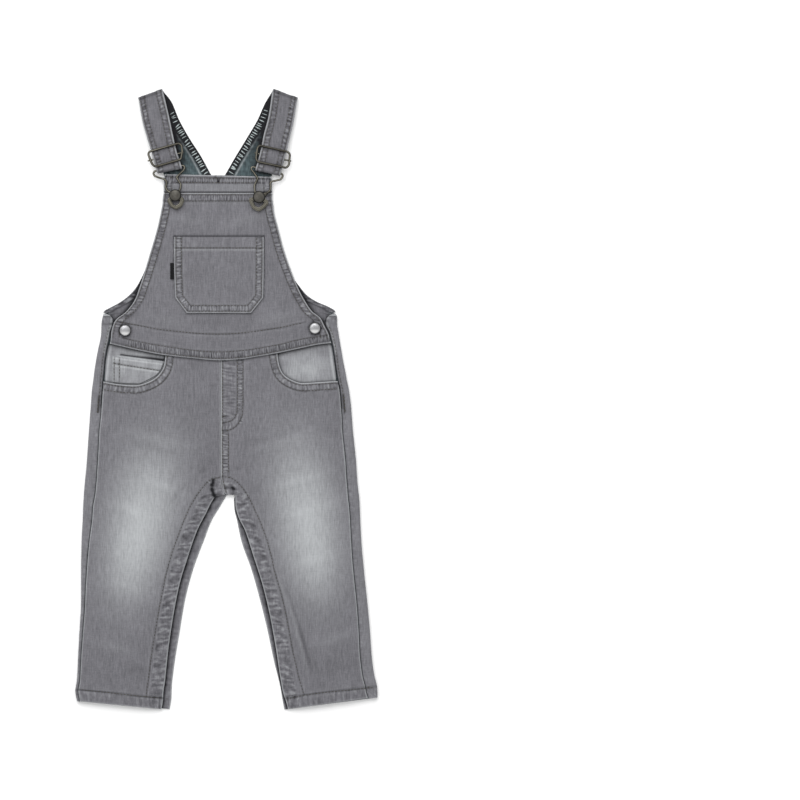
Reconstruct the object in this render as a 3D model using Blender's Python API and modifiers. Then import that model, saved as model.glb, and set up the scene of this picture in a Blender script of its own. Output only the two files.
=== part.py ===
# Toddler's denim dungarees, laid flat with the front up.
#
# +X runs to the wearer's left, +Y towards the straps and +Z up out of the
# cloth, and the origin lies on the surface under the middle of the garment.
# Sizes are in millimetres until a point is placed. A "level" is the distance
# up the garment from the bottom of its lowest hem.

import math
from collections import namedtuple

import bmesh
import bpy
from mathutils import Vector

# Driving sizes
MM = 0.001
MIDDLE_LEVEL = 295.25      # level of the origin
SEAM_GAP = 0.3             # between pieces that are sewn together
SIDE_GAP = 0.5             # along the long curve of a side seam
WALL = 1.2                 # one layer of denim
THIN_WALL = 1.0            # pocket cloth
FOLD_RADIUS = 0.9          # hollow side of the folded outer edge
TOP_LAYER = WALL + 2 * FOLD_RADIUS
RESTING_LAYER = WALL + SEAM_GAP
FULLNESS = 0.8             # how far the front stands up between its seams

SEAM_BAND = 13.0           # inseam facing, from the edge to its topstitching
FLY_BAND = 20.5            # mock fly, from the centre front
EDGE_BAND = 8.5            # doubled edge of armhole and pocket mouth
DOUBLED = 0.7              # what a doubled layer adds

CENTRE_BACK = -6.0
ARMHOLE_LEVEL = 372.0      # below it the bib meets the back at the side seams
STRAP_WALL = 1.5
STRAP_FOLD = 1.0           # hollow side of the strap's top fold
WIRE = 0.8                 # radius of the buckle wire
WIRE_HEIGHT = 4.7          # middle of the hook wire
FRAME_HEIGHT = 7.3         # middle of the slider frame's wire

BackRow = namedtuple("BackRow", "outer_level inner_level outer strip inner")
FrontRow = namedtuple("FrontRow", "outer outer_level inner inner_level inner_height")
BibRow = namedtuple("BibRow", "left left_level right right_level dip band")
StripRow = namedtuple("StripRow", "left left_level right right_level")
Mark = namedtuple("Mark", "x level")

# Waist seam, from the wearer's right to the wearer's left
WAIST = [
    Mark(-117.5, 349.5),
    Mark(-111.0, 348.0),
    Mark(-100.5, 345.5),
    Mark(-80.5, 341.0),
    Mark(-59.0, 337.0),
    Mark(-33.0, 334.0),
    Mark(-6.0, 332.0),
    Mark(13.5, 333.0),
    Mark(29.5, 335.5),
    Mark(49.0, 339.0),
    Mark(72.5, 344.0),
    Mark(87.0, 347.0),
    Mark(100.0, 348.5),
    Mark(106.0, 349.0),
]

# Back panels, hem to top: the folded outer edge, how far the cloth comes
# round on to the front, and the inseam or centre back seam
BACK_RIGHT = [
    BackRow(8.5, 1.0, -142.0, 2.5, -54.0),
    BackRow(18.5, 11.5, -143.5, 2.5, -52.5),
    BackRow(28.5, 23.0, -142.0, 2.5, -52.0),
    BackRow(47.5, 44.5, -141.0, 2.5, -49.5),
    BackRow(76.0, 75.0, -139.5, 3.0, -44.5),
    BackRow(104.5, 104.5, -138.0, 3.5, -39.5),
    BackRow(133.0, 133.0, -138.0, 5.0, -32.0),
    BackRow(161.5, 161.5, -137.5, 7.0, -21.5),
    BackRow(180.5, 180.5, -136.5, 8.5, -14.0),
    BackRow(194.0, 193.0, -136.0, 9.0, -6.5),
    BackRow(202.5, 200.5, -135.5, 10.0, -2.0),
    BackRow(208.8, 204.3, -135.1, 10.5, 0.7),
    BackRow(211.2, 205.3, -134.9, 10.5, 7.3),
    BackRow(221.0, 216.5, -134.0, 10.5, 0.5),
    BackRow(230.0, 229.5, -133.0, 10.0, -2.5),
    BackRow(237.0, 237.0, -132.5, 10.0, -4.0),
    BackRow(266.0, 266.0, -130.5, 9.5, -4.5),
    BackRow(279.5, 279.5, -129.5, 10.0, -5.0),
    BackRow(286.0, 286.0, -129.0, 10.0, -5.0),
    BackRow(306.0, 306.0, -127.5, 10.0, -5.0),
    BackRow(312.5, 312.5, -126.5, 9.5, -5.5),
    BackRow(321.0, 321.0, -125.5, 9.5, -5.5),
    BackRow(328.0, 328.0, -124.5, 9.0, -5.5),
    BackRow(342.0, 342.0, -122.0, 8.5, -6.0),
    BackRow(357.0, 357.0, -119.0, 8.5, -6.0),
    BackRow(368.5, 368.5, -118.5, 11.5, -6.5),
    BackRow(373.5, 372.5, -117.5, 9.5, -6.5),
    BackRow(376.0, 374.5, -117.0, 5.0, -6.5),
    BackRow(378.0, 376.0, -117.0, 0.0, -6.5),
    BackRow(382.0, 379.0, -111.0, 0.0, -6.5),
    BackRow(386.5, 384.0, -102.5, 0.0, -6.5),
    BackRow(393.5, 389.5, -93.0, 0.0, -7.0),
    BackRow(402.0, 399.0, -85.5, 0.0, -7.0),
    BackRow(413.0, 411.5, -79.5, 0.0, -7.0),
    BackRow(429.5, 428.5, -73.0, 0.0, -7.0),
    BackRow(448.5, 448.5, -67.5, 0.0, -7.0),
    BackRow(467.5, 467.5, -62.5, 0.0, -7.5),
    BackRow(484.5, 484.5, -59.5, 0.0, -7.5),
    BackRow(507.0, 508.0, -58.0, 0.0, -7.5),
]
BACK_LEFT = [
    BackRow(12.0, 0.5, 143.5, 8.5, 55.0),
    BackRow(22.0, 11.5, 143.0, 10.5, 53.0),
    BackRow(32.5, 23.0, 140.5, 10.5, 51.0),
    BackRow(50.5, 47.5, 138.0, 10.5, 45.0),
    BackRow(78.0, 76.0, 136.0, 10.0, 39.0),
    BackRow(104.5, 104.5, 133.5, 9.5, 32.0),
    BackRow(133.0, 133.0, 130.5, 9.5, 24.0),
    BackRow(161.5, 161.5, 128.0, 9.0, 14.0),
    BackRow(180.5, 180.5, 127.0, 9.0, 10.0),
    BackRow(194.0, 192.0, 126.5, 9.5, 7.5),
    BackRow(202.5, 200.5, 126.0, 10.0, 7.2),
    BackRow(208.8, 204.3, 125.1, 9.6, 8.2),
    BackRow(211.2, 205.3, 124.9, 9.5, 7.8),
    BackRow(221.0, 216.5, 124.0, 9.5, 1.0),
    BackRow(230.0, 229.5, 123.5, 9.5, -2.0),
    BackRow(237.0, 237.0, 123.0, 9.5, -3.5),
    BackRow(266.0, 266.0, 120.0, 9.5, -4.0),
    BackRow(279.5, 279.5, 119.0, 9.0, -4.5),
    BackRow(286.0, 286.0, 118.5, 9.0, -4.5),
    BackRow(306.0, 306.0, 116.0, 8.5, -4.5),
    BackRow(312.5, 312.5, 114.5, 8.5, -5.0),
    BackRow(321.0, 321.0, 113.0, 8.5, -5.0),
    BackRow(328.0, 328.0, 111.5, 8.0, -5.0),
    BackRow(342.0, 342.0, 109.0, 7.5, -5.5),
    BackRow(357.0, 357.0, 106.5, 8.3, -5.5),
    BackRow(368.5, 368.5, 105.0, 11.5, -6.0),
    BackRow(373.5, 372.5, 105.0, 10.0, -6.0),
    BackRow(376.0, 374.5, 104.0, 5.0, -6.0),
    BackRow(378.5, 376.0, 103.5, 0.0, -6.0),
    BackRow(383.0, 380.0, 97.0, 0.0, -6.0),
    BackRow(387.5, 384.0, 86.5, 0.0, -6.0),
    BackRow(393.5, 389.5, 77.0, 0.0, -6.5),
    BackRow(402.0, 399.0, 69.5, 0.0, -6.5),
    BackRow(413.0, 411.5, 62.0, 0.0, -6.5),
    BackRow(429.5, 428.5, 56.0, 0.0, -6.5),
    BackRow(448.5, 448.5, 50.5, 0.0, -6.5),
    BackRow(467.5, 467.5, 45.5, 0.0, -7.0),
    BackRow(484.5, 484.5, 42.5, 0.0, -7.0),
    BackRow(506.5, 508.0, 42.0, 0.0, -7.0),
]

# Front panels, hem to waist: side seam (None, read off the back panel) and then
# the scooped pocket mouth on the outer side, inseam and then the centre front
# on the inner side
FRONT_RIGHT = [
    FrontRow(None, 8.5, -61.5, 1.0, 1.5),
    FrontRow(None, 18.5, -60.0, 12.0, 1.5),
    FrontRow(None, 19.5, -60.0, 13.0, 1.5),
    FrontRow(None, 33.0, -58.0, 29.5, 1.5),
    FrontRow(None, 55.0, -55.5, 54.0, 1.5),
    FrontRow(None, 88.5, -50.5, 88.5, 1.5),
    FrontRow(None, 119.0, -44.5, 119.0, 1.5),
    FrontRow(None, 147.0, -36.0, 147.0, 1.5),
    FrontRow(None, 171.0, -27.5, 171.0, 1.5),
    FrontRow(None, 188.0, -19.0, 187.5, 1.5),
    FrontRow(None, 199.5, -13.5, 198.5, 1.5),
    FrontRow(None, 209.0, -9.5, 203.5, 1.6),
    FrontRow(None, 220.5, -1.4, 204.3, 1.8),
    FrontRow(None, 235.5, -5.5, 221.0, 2.4),
    FrontRow(None, 252.0, -5.7, 240.5, 2.8),
    FrontRow(None, 268.0, -5.7, 253.5, 3.0),
    FrontRow(None, 287.0, -5.7, 266.0, 3.0),
    FrontRow(None, 301.0, -5.7, 276.5, 3.0),
    FrontRow(None, 312.0, -5.7, 286.0, 3.0),
    FrontRow(-102.0, 309.5, -5.7, 294.0, 3.0),
    FrontRow(-86.5, 308.5, -5.7, 302.5, 3.0),
    FrontRow(-74.5, 311.5, -5.7, 310.0, 3.0),
    FrontRow(-64.5, 318.0, -5.7, 317.5, 3.0),
    FrontRow(-59.0, 327.5, -5.7, 325.0, 3.0),
    FrontRow(-57.5, 339.0, -5.7, 334.5, 3.0),
]
FRONT_LEFT = [
    FrontRow(None, 11.5, 58.5, 1.0, 1.5),
    FrontRow(None, 21.5, 55.5, 11.5, 1.5),
    FrontRow(None, 22.5, 55.0, 12.5, 1.5),
    FrontRow(None, 35.0, 51.5, 28.5, 1.5),
    FrontRow(None, 57.0, 47.5, 55.0, 1.5),
    FrontRow(None, 89.5, 41.5, 88.5, 1.5),
    FrontRow(None, 119.0, 34.5, 118.0, 1.5),
    FrontRow(None, 147.0, 25.5, 146.5, 1.5),
    FrontRow(None, 173.0, 17.5, 171.0, 1.5),
    FrontRow(None, 192.0, 11.0, 184.5, 1.5),
    FrontRow(None, 204.0, 8.5, 195.5, 1.5),
    FrontRow(None, 213.0, 8.5, 204.0, 1.6),
    FrontRow(None, 224.0, -0.7, 204.9, 1.8),
    FrontRow(None, 236.5, -4.9, 221.0, 2.4),
    FrontRow(None, 251.0, -5.2, 240.5, 2.8),
    FrontRow(None, 266.0, -5.2, 253.5, 3.0),
    FrontRow(None, 284.0, -5.2, 266.0, 3.0),
    FrontRow(None, 299.0, -5.2, 276.5, 3.0),
    FrontRow(None, 312.5, -5.2, 286.0, 3.0),
    FrontRow(88.5, 311.5, -5.2, 294.0, 3.0),
    FrontRow(72.5, 310.5, -5.2, 302.5, 3.0),
    FrontRow(61.0, 314.0, -5.2, 310.0, 3.0),
    FrontRow(53.5, 320.0, -5.2, 317.5, 3.0),
    FrontRow(50.0, 328.5, -5.2, 325.0, 3.0),
    FrontRow(48.0, 342.0, -5.2, 334.5, 3.0),
]
HEM_ROWS = 2               # rows that the turned-up hem takes in
FLY_ROWS = 16              # row where the fly's curve meets the centre front
MOUTH_ROWS = 18            # row where the side seam gives way to the pocket mouth

# Bib, waist to yoke: its two edges, how far a row sags between them, and
# whether the row lies in a doubled seam
BIB = [
    BibRow(-110.5, 346.0, 99.5, 347.0, 15.0, 1),
    BibRow(-109.5, 354.0, 97.5, 355.0, 15.0, 1),
    BibRow(-109.5, 355.0, 97.3, 356.0, 14.5, 0),
    BibRow(-107.5, 366.0, 93.0, 365.0, 12.5, 0),
    BibRow(-104.5, 371.0, 89.5, 372.0, 10.5, 0),
    BibRow(-96.0, 377.5, 81.5, 378.5, 7.5, 0),
    BibRow(-87.0, 389.5, 74.0, 389.5, 4.0, 0),
    BibRow(-83.0, 400.0, 68.5, 400.0, 2.0, 0),
    BibRow(-77.5, 417.0, 61.5, 417.0, 0.0, 0),
    BibRow(-71.5, 437.0, 54.5, 437.0, 0.0, 0),
    BibRow(-66.0, 456.0, 49.5, 456.0, 0.0, 0),
    BibRow(-62.0, 474.0, 45.0, 474.0, 0.0, 0),
    BibRow(-60.5, 483.0, 44.0, 483.0, 0.0, 0),
    BibRow(-60.5, 484.0, 43.5, 484.0, 0.0, 1),
    BibRow(-59.5, 491.2, 43.5, 491.2, 0.0, 1),
]
YOKE = [
    BibRow(-59.5, 491.6, 43.5, 491.6, 0.0, 0),
    BibRow(-59.5, 500.0, 43.0, 500.0, 0.0, 0),
    BibRow(-59.5, 501.0, 43.0, 501.0, 0.0, 1),
    BibRow(-58.5, 509.0, 42.5, 506.5, 0.0, 1),
]

# Patch pocket on the bib, bottom to top
BIB_POCKET = [
    StripRow(-37.5, 377.0, 23.5, 377.0),
    StripRow(-43.0, 384.5, 29.5, 384.5),
    StripRow(-48.5, 391.5, 35.0, 391.5),
    StripRow(-49.5, 418.0, 35.5, 418.0),
    StripRow(-49.5, 437.5, 35.5, 437.5),
    StripRow(-49.5, 438.5, 35.5, 438.5),
    StripRow(-49.5, 449.5, 35.5, 449.5),
]
POCKET_HEM_ROW = 5
LOOP_TAB = [
    StripRow(-53.3, 409.0, -49.9, 409.0),
    StripRow(-53.3, 424.5, -49.9, 424.5),
]

# Cloth that shows inside the two scooped pockets, bottom to top
FACING_RIGHT = [
    StripRow(-107.0, 304.5, -62.0, 301.0),
    StripRow(-115.5, 314.0, -54.0, 309.0),
    StripRow(-115.2, 319.0, -52.5, 315.0),
    StripRow(-114.8, 327.0, -51.0, 322.0),
    StripRow(-113.2, 340.0, -50.0, 331.0),
    StripRow(-111.2, 350.0, -50.0, 338.0),
]
FACING_LEFT = [
    StripRow(52.0, 304.0, 98.0, 305.5),
    StripRow(44.0, 312.0, 104.2, 315.0),
    StripRow(42.0, 322.0, 103.0, 327.0),
    StripRow(41.0, 331.0, 101.0, 340.0),
    StripRow(41.0, 340.0, 99.2, 350.0),
]
COIN_POCKET = [
    StripRow(-108.0, 311.3, -82.0, 310.2),
    StripRow(-108.0, 319.0, -66.0, 319.0),
    StripRow(-108.0, 327.5, -62.8, 323.0),
    StripRow(-108.0, 328.5, -62.2, 324.0),
    StripRow(-108.0, 336.0, -60.0, 330.0),
]
COIN_HEM_ROW = 3

# Straps: along the back from its top seam to the shoulder fold, then down
# the front through the slider to the loop that holds the hook
STRAP_RIGHT_BACK = [
    StripRow(-59.0, 508.0, -14.5, 509.0),
    StripRow(-64.5, 525.5, -24.0, 525.5),
    StripRow(-70.5, 543.5, -35.5, 543.5),
    StripRow(-76.0, 561.5, -45.5, 561.5),
    StripRow(-80.5, 575.0, -52.5, 578.0),
]
STRAP_RIGHT_FOLD = StripRow(-84.0, 581.5, -61.0, 590.0)
STRAP_RIGHT_FRONT = [
    StripRow(-79.5, 558.5, -54.5, 564.0),
    StripRow(-74.5, 541.0, -51.0, 547.5),
    StripRow(-71.0, 529.5, -48.5, 536.0),
    StripRow(-69.0, 522.5, -46.5, 528.5),
    StripRow(-67.0, 516.0, -44.0, 521.0),
]
STRAP_RIGHT_LOOP = StripRow(-65.5, 509.5, -42.0, 514.0)
STRAP_LEFT_BACK = [
    StripRow(-1.5, 509.0, 42.5, 507.5),
    StripRow(8.0, 524.5, 48.0, 524.5),
    StripRow(19.5, 543.5, 53.5, 543.5),
    StripRow(29.5, 560.5, 59.0, 560.5),
    StripRow(37.0, 577.0, 64.5, 575.0),
]
STRAP_LEFT_FOLD = StripRow(44.5, 590.0, 68.0, 581.5)
STRAP_LEFT_FRONT = [
    StripRow(40.0, 563.5, 63.5, 557.5),
    StripRow(35.5, 546.0, 59.5, 540.5),
    StripRow(33.5, 535.5, 57.0, 530.0),
    StripRow(31.5, 527.0, 55.0, 522.0),
    StripRow(29.5, 519.5, 53.0, 514.5),
]
STRAP_LEFT_LOOP = StripRow(27.5, 512.5, 51.0, 507.0)
FRONT_HEIGHTS = [3.8, 4.4, 4.7, 5.7, 4.7]      # hollow side of each front row
RETURN_REACH = 0.55                            # how far back up the loop's end goes

SLIDER_RIGHT = [
    Mark(-73.0, 530.0),
    Mark(-45.0, 538.0),
    Mark(-42.4, 536.0),
    Mark(-41.6, 530.5),
    Mark(-43.0, 522.8),
    Mark(-67.5, 515.6),
    Mark(-70.5, 518.5),
    Mark(-74.0, 527.5),
]
SLIDER_LEFT = [
    Mark(31.5, 536.0),
    Mark(58.5, 529.8),
    Mark(60.4, 527.5),
    Mark(59.6, 517.5),
    Mark(57.0, 514.6),
    Mark(29.5, 520.6),
    Mark(28.2, 523.5),
    Mark(29.6, 533.5),
]
SLIDE_BAR_RIGHT = [Mark(-74.6, 521.4), Mark(-40.4, 529.6)]
SLIDE_BAR_LEFT = [Mark(27.0, 528.9), Mark(61.6, 521.1)]

# Hooks: the bar inside the strap's loop, the waist of the wire, the neck
# round the button's shank and the wide end below the button
HOOK_RIGHT = [
    Mark(-66.0, 512.0),
    Mark(-42.5, 517.0),
    Mark(-40.2, 516.8),
    Mark(-39.5, 515.0),
    Mark(-40.5, 512.5),
    Mark(-44.0, 509.2),
    Mark(-47.3, 506.0),
    Mark(-45.6, 503.0),
    Mark(-43.2, 499.4),
    Mark(-43.6, 495.4),
    Mark(-45.2, 491.8),
    Mark(-45.2, 487.0),
    Mark(-41.4, 484.4),
    Mark(-43.6, 479.4),
    Mark(-47.6, 476.9),
    Mark(-51.0, 478.4),
    Mark(-54.4, 483.6),
    Mark(-51.8, 487.0),
    Mark(-51.8, 490.4),
    Mark(-56.0, 493.2),
    Mark(-57.8, 496.6),
    Mark(-56.4, 500.4),
    Mark(-57.9, 503.7),
    Mark(-63.0, 505.2),
    Mark(-68.0, 507.0),
    Mark(-69.4, 509.4),
    Mark(-68.2, 511.4),
]
HOOK_LEFT = [
    Mark(28.0, 515.0),
    Mark(51.5, 509.5),
    Mark(53.3, 508.6),
    Mark(53.6, 506.4),
    Mark(51.4, 503.6),
    Mark(46.8, 502.6),
    Mark(42.7, 501.8),
    Mark(41.4, 500.0),
    Mark(42.4, 496.8),
    Mark(41.2, 493.0),
    Mark(37.6, 490.2),
    Mark(34.3, 488.4),
    Mark(34.3, 485.4),
    Mark(38.6, 482.0),
    Mark(34.6, 477.4),
    Mark(30.5, 475.0),
    Mark(26.0, 477.4),
    Mark(22.8, 484.6),
    Mark(27.7, 485.4),
    Mark(27.7, 489.2),
    Mark(26.9, 494.0),
    Mark(26.6, 498.0),
    Mark(28.3, 501.8),
    Mark(29.8, 505.0),
    Mark(26.4, 510.0),
    Mark(23.5, 513.6),
    Mark(23.9, 515.4),
    Mark(25.6, 515.7),
]

BIB_BUTTON_RIGHT = Mark(-48.5, 488.6)
BIB_BUTTON_LEFT = Mark(31.0, 487.0)
SIDE_BUTTON_RIGHT = Mark(-96.0, 360.5)
SIDE_BUTTON_LEFT = Mark(84.0, 362.5)

# Back patch pockets, alike on both sides: reach from the centre back seam
POCKET_NEAR = 27.0
POCKET_FAR = 105.0
POCKET_FOOT = 239.0
POCKET_CORNER = 252.0
POCKET_TOP = 319.0
POCKET_TILT = 5.0
CORNER_CUT = 12.0
PATCH_NEAR = 61.0
PATCH_FAR = 79.0
PATCH_FOOT = 290.0
PATCH_TOP = 302.0
PATCH_WALL = 0.7

POCKET_LIFT = THIN_WALL + SEAM_GAP
PATCH_LIFT = PATCH_WALL + SEAM_GAP


def smooth(value):
    value = min(1.0, max(0.0, value))
    return value * value * (3 - 2 * value)


def plateau(value, low, high, ramp):
    """1 between low and high, falling to 0 a ramp's width outside them."""
    return smooth((value - low) / ramp + 1) * smooth((high - value) / ramp + 1)


def mix(start, end, share):
    return start + (end - start) * share


def read(marks, x):
    """The level of a line of marks at x."""
    for first, second in zip(marks, marks[1:]):
        if x <= second.x:
            break
    share = (x - first.x) / (second.x - first.x)
    return mix(first.level, second.level, share)


def side_seam(side, level):
    """Where the back's cloth ends on the front, at a level below the armhole."""
    rows = [row for row in (BACK_LEFT if side > 0 else BACK_RIGHT) if row.strip]
    marks = []
    for row in rows:
        share = row.strip / abs(row.inner - row.outer)
        marks.append((mix(row.outer_level, row.inner_level, share), row.outer - side * row.strip))
    for low, high in zip(marks, marks[1:]):
        if level <= high[0]:
            break
    share = (level - low[0]) / (high[0] - low[0])
    return mix(low[1], high[1], min(1.0, share))


def within_seams(x, level):
    """x, kept clear of both side seams."""
    right = side_seam(-1, level) + SEAM_GAP
    left = side_seam(1, level) - SEAM_GAP
    return min(left, max(right, x))


def place(x, level, height):
    return Vector((x, level - MIDDLE_LEVEL, height)) * MM


def material(name, colour, roughness, metallic=0.0):
    finish = bpy.data.materials.new(name)
    finish.use_nodes = True
    shader = finish.node_tree.nodes["Principled BSDF"]
    shader.inputs["Base Color"].default_value = (*colour, 1.0)
    shader.inputs["Roughness"].default_value = roughness
    shader.inputs["Metallic"].default_value = metallic
    finish.diffuse_color = (*colour, 1.0)
    return finish


def denim(name):
    return material(name, (0.20, 0.195, 0.22), 0.85)


def washed_denim(name):
    return material(name, (0.35, 0.35, 0.38), 0.85)


def label_cloth(name):
    return material(name, (0.012, 0.012, 0.014), 0.7)


def old_nickel(name):
    return material(name, (0.18, 0.165, 0.13), 0.4, 1.0)


def bright_nickel(name):
    return material(name, (0.68, 0.68, 0.66), 0.28, 1.0)


def cloth(name, finish, columns, rows, point_at):
    """A wall of cloth: a flat slab of grid cells, each corner then put in its place."""
    mesh = bmesh.new()
    bmesh.ops.create_grid(mesh, x_segments=columns, y_segments=rows, size=0.5)
    raised = bmesh.ops.extrude_face_region(mesh, geom=mesh.faces[:])
    outside = [item for item in raised["geom"] if isinstance(item, bmesh.types.BMVert)]
    bmesh.ops.translate(mesh, verts=outside, vec=(0, 0, 1))
    for vert in mesh.verts:
        column = round((vert.co.x + 0.5) * columns)
        row = round((vert.co.y + 0.5) * rows)
        vert.co = place(*point_at(column, row, vert.co.z > 0.5))
    bmesh.ops.recalc_face_normals(mesh, faces=mesh.faces[:])
    if mesh.calc_volume(signed=True) < 0:
        bmesh.ops.reverse_faces(mesh, faces=mesh.faces[:])
    return add_mesh(name, mesh, finish)


def add_mesh(name, mesh, finish):
    data = bpy.data.meshes.new(name)
    mesh.to_mesh(data)
    mesh.free()
    return add_object(name, data, finish)


def add_object(name, data, finish):
    item = bpy.data.objects.new(name, data)
    item.data.materials.append(finish(name))
    garment.objects.link(item)
    return item


# Heights of the layers

def pocket_zone(x, level, near, far, foot, top, ramp):
    reach = abs(x - CENTRE_BACK)
    return plateau(reach, near, far, ramp) * plateau(level, foot, top, ramp)


def patch_zone(x, level):
    """The ground over the label patch, on the wearer's right only."""
    if x > CENTRE_BACK:
        return 0.0
    return pocket_zone(x, level, PATCH_NEAR - 5, PATCH_FAR + 5, PATCH_FOOT - 4, PATCH_TOP + 4, 6)


def back_lift(x, level):
    """How far the back rises off the surface where its pockets lie under it."""
    pocket = pocket_zone(x, level, POCKET_NEAR - 1, POCKET_FAR + 1, POCKET_FOOT - 2, POCKET_TOP + 2, 6)
    return POCKET_LIFT * pocket + PATCH_LIFT * patch_zone(x, level)


def hip_lift(x, level):
    """The same rise, softened by the layers in between."""
    zone = pocket_zone(x, level, POCKET_NEAR - 5, POCKET_FAR + 3, POCKET_FOOT - 8, POCKET_TOP + 11, 9)
    patch = 0.0
    if x < CENTRE_BACK:
        patch = pocket_zone(x, level, PATCH_NEAR - 8, PATCH_FAR + 8, PATCH_FOOT - 6, PATCH_TOP + 6, 9)
    return POCKET_LIFT * zone + PATCH_LIFT * patch


def bib_edges(level):
    """The bib's two edges at a level."""
    rows = BIB + YOKE
    for low, high in zip(rows, rows[1:]):
        if level <= high.left_level:
            break
    share = min(1.0, (level - low.left_level) / (high.left_level - low.left_level))
    return mix(low.left, high.left, share), mix(low.right, high.right, share)


def bib_height(x, level):
    """Hollow side of the bib: up at the waist, resting on the back at the top."""
    left, right = bib_edges(level)
    edge = min(x - left, right - x)
    flap = smooth((395 - level) / 23)
    full = FULLNESS * smooth(edge / 42) * smooth((500 - level) / 60)
    over_straps = SEAM_GAP * smooth((level - 492) / 8)
    return mix(RESTING_LAYER, TOP_LAYER, flap) + full * (1 - 0.7 * flap) + over_straps


def facing_height(x, level):
    return RESTING_LAYER + hip_lift(x, level)


# Pieces

def back_panel(name, table, side):
    """From the side seam, round the folded edge and across to the centre back.

    side is -1 on the wearer's right and 1 on the wearer's left. The surface
    worked out first is the hollow side, and the wall grows away from it.
    """
    arc_steps = 4
    strip_steps = 2
    inner_stops = [0.0, 20.0, 26.0, 50.0, 56.0, 84.0, 90.0, 106.0, 112.0]
    full_width = 118.0
    seat_reach = 4.5
    edge_step = 0.5
    first_flat = strip_steps + arc_steps
    columns = first_flat + len(inner_stops)

    def point_at(column, row, outside):
        station = table[row]
        centre = station.outer - side * (FOLD_RADIUS + WALL)
        radius = FOLD_RADIUS + (WALL if outside else 0.0)
        middle = WALL + FOLD_RADIUS
        floor = 0.0 if outside else WALL
        inner = station.inner + side * SEAM_GAP / 2
        on_seat = abs(inner - CENTRE_BACK) < seat_reach
        anchor = CENTRE_BACK if on_seat else inner
        folded = station.strip > 0
        if column <= first_flat and not folded:
            x = station.outer - side * edge_step * column
            height = floor
        elif column < strip_steps:
            share = column / strip_steps
            x = mix(station.outer - side * station.strip, centre, share)
            height = middle + radius
        elif column <= first_flat:
            angle = math.pi * (column - strip_steps) / arc_steps
            x = centre + side * radius * math.sin(angle)
            height = middle + radius * math.cos(angle)
        else:
            stop = inner_stops[columns - column]
            scale = min(1.0, (abs(anchor - centre) - 2.0) / full_width)
            x = anchor + side * stop * scale if stop else inner
            height = floor
        share = abs(x - station.outer) / abs(station.inner - station.outer)
        level = mix(station.outer_level, station.inner_level, min(1.0, share))
        return x, level, height + back_lift(x, level) * (column > first_flat)

    return cloth(name, denim, columns, len(table) - 1, point_at)


def front_panel(name, table, side, fly):
    """From the inseam or centre front out to the side seam or pocket mouth."""
    inner_stops = [0.0, SEAM_BAND, SEAM_BAND + 1, FLY_BAND, FLY_BAND + 1]
    middle_columns = 4
    outer_stops = [EDGE_BAND, EDGE_BAND - 1, 0.0]
    columns = len(inner_stops) + middle_columns + len(outer_stops) - 1

    def reach_of(column, width):
        if column < len(inner_stops):
            return inner_stops[column]
        outer_column = column - len(inner_stops) - middle_columns
        if outer_column >= 0:
            return width - outer_stops[outer_column]
        share = (column - len(inner_stops) + 1) / (middle_columns + 1)
        return mix(inner_stops[-1], width - outer_stops[0], share)

    def doubling(row, from_inner, from_outer):
        if row < HEM_ROWS:
            return DOUBLED
        if row <= FLY_ROWS and from_inner <= SEAM_BAND:
            return DOUBLED
        if fly and row > FLY_ROWS and from_inner <= FLY_BAND:
            return DOUBLED
        if row >= MOUTH_ROWS and from_outer < EDGE_BAND - 0.5:
            return DOUBLED
        return 0.0

    def point_at(column, row, outside):
        station = table[row]
        inner = station.inner + side * SEAM_GAP / 2
        outer = station.outer
        if outer is None:
            outer = side_seam(side, station.outer_level) - side * SIDE_GAP
        width = abs(outer - inner)
        reach = reach_of(column, width)
        share = reach / width
        x = mix(inner, outer, share)
        level = mix(station.inner_level, station.outer_level, share)
        level = min(level, read(WAIST, x) - SEAM_GAP / 2)
        rise = mix(station.inner_height, TOP_LAYER, smooth(reach / 16))
        full = FULLNESS * smooth(reach / 30) * smooth((width - reach) / 22)
        height = rise + full + hip_lift(x, level)
        if outside:
            height += WALL + doubling(row, reach, width - reach)
        return x, level, height

    return cloth(name, denim, columns, len(table) - 1, point_at)


def bib_piece(name, table, on_waist):
    """The bib or its yoke, with doubled armhole edges and seams."""
    edge_stops = [0.0, EDGE_BAND - 1, EDGE_BAND]
    middle_columns = 7
    columns = 2 * len(edge_stops) + middle_columns - 1

    def reach_of(column, width):
        if column < len(edge_stops):
            return edge_stops[column]
        if columns - column < len(edge_stops):
            return width - edge_stops[columns - column]
        share = (column - len(edge_stops) + 1) / (middle_columns + 1)
        return mix(edge_stops[-1], width - edge_stops[-1], share)

    def point_at(column, row, outside):
        station = table[row]
        width = station.right - station.left
        share = reach_of(column, width) / width
        x = mix(station.left, station.right, share)
        level = mix(station.left_level, station.right_level, share)
        level -= station.dip * 4 * share * (1 - share)
        if on_waist:
            level = max(level, read(WAIST, x) + SEAM_GAP / 2)
        if level < ARMHOLE_LEVEL:
            x = within_seams(x, level)
        height = bib_height(x, level)
        if outside:
            on_edge = column in (0, 1, columns - 1, columns)
            height += WALL + (DOUBLED * 0.8 if station.band or on_edge else 0.0)
        return x, level, height

    return cloth(name, denim, columns, len(table) - 1, point_at)


def flat_piece(name, finish, table, columns, wall, height_at, hem_row=None, under_waist=False):
    """A small piece that lies on another: its rows, at the height of its ground."""

    def point_at(column, row, outside):
        station = table[row]
        share = column / columns
        x = mix(station.left, station.right, share)
        level = mix(station.left_level, station.right_level, share)
        if under_waist:
            level = min(level, read(WAIST, x) - SEAM_GAP / 2)
            x = within_seams(x, level)
        height = height_at(x, level)
        if outside:
            hemmed = hem_row is not None and row >= hem_row
            height += wall + (0.5 * DOUBLED if hemmed else 0.0)
        return x, level, height

    return cloth(name, finish, columns, len(table) - 1, point_at)


def on_bib(x, level):
    return bib_height(x, level) + WALL + SEAM_GAP


def on_facing(x, level):
    return facing_height(x, level) + THIN_WALL + SEAM_GAP


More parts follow.
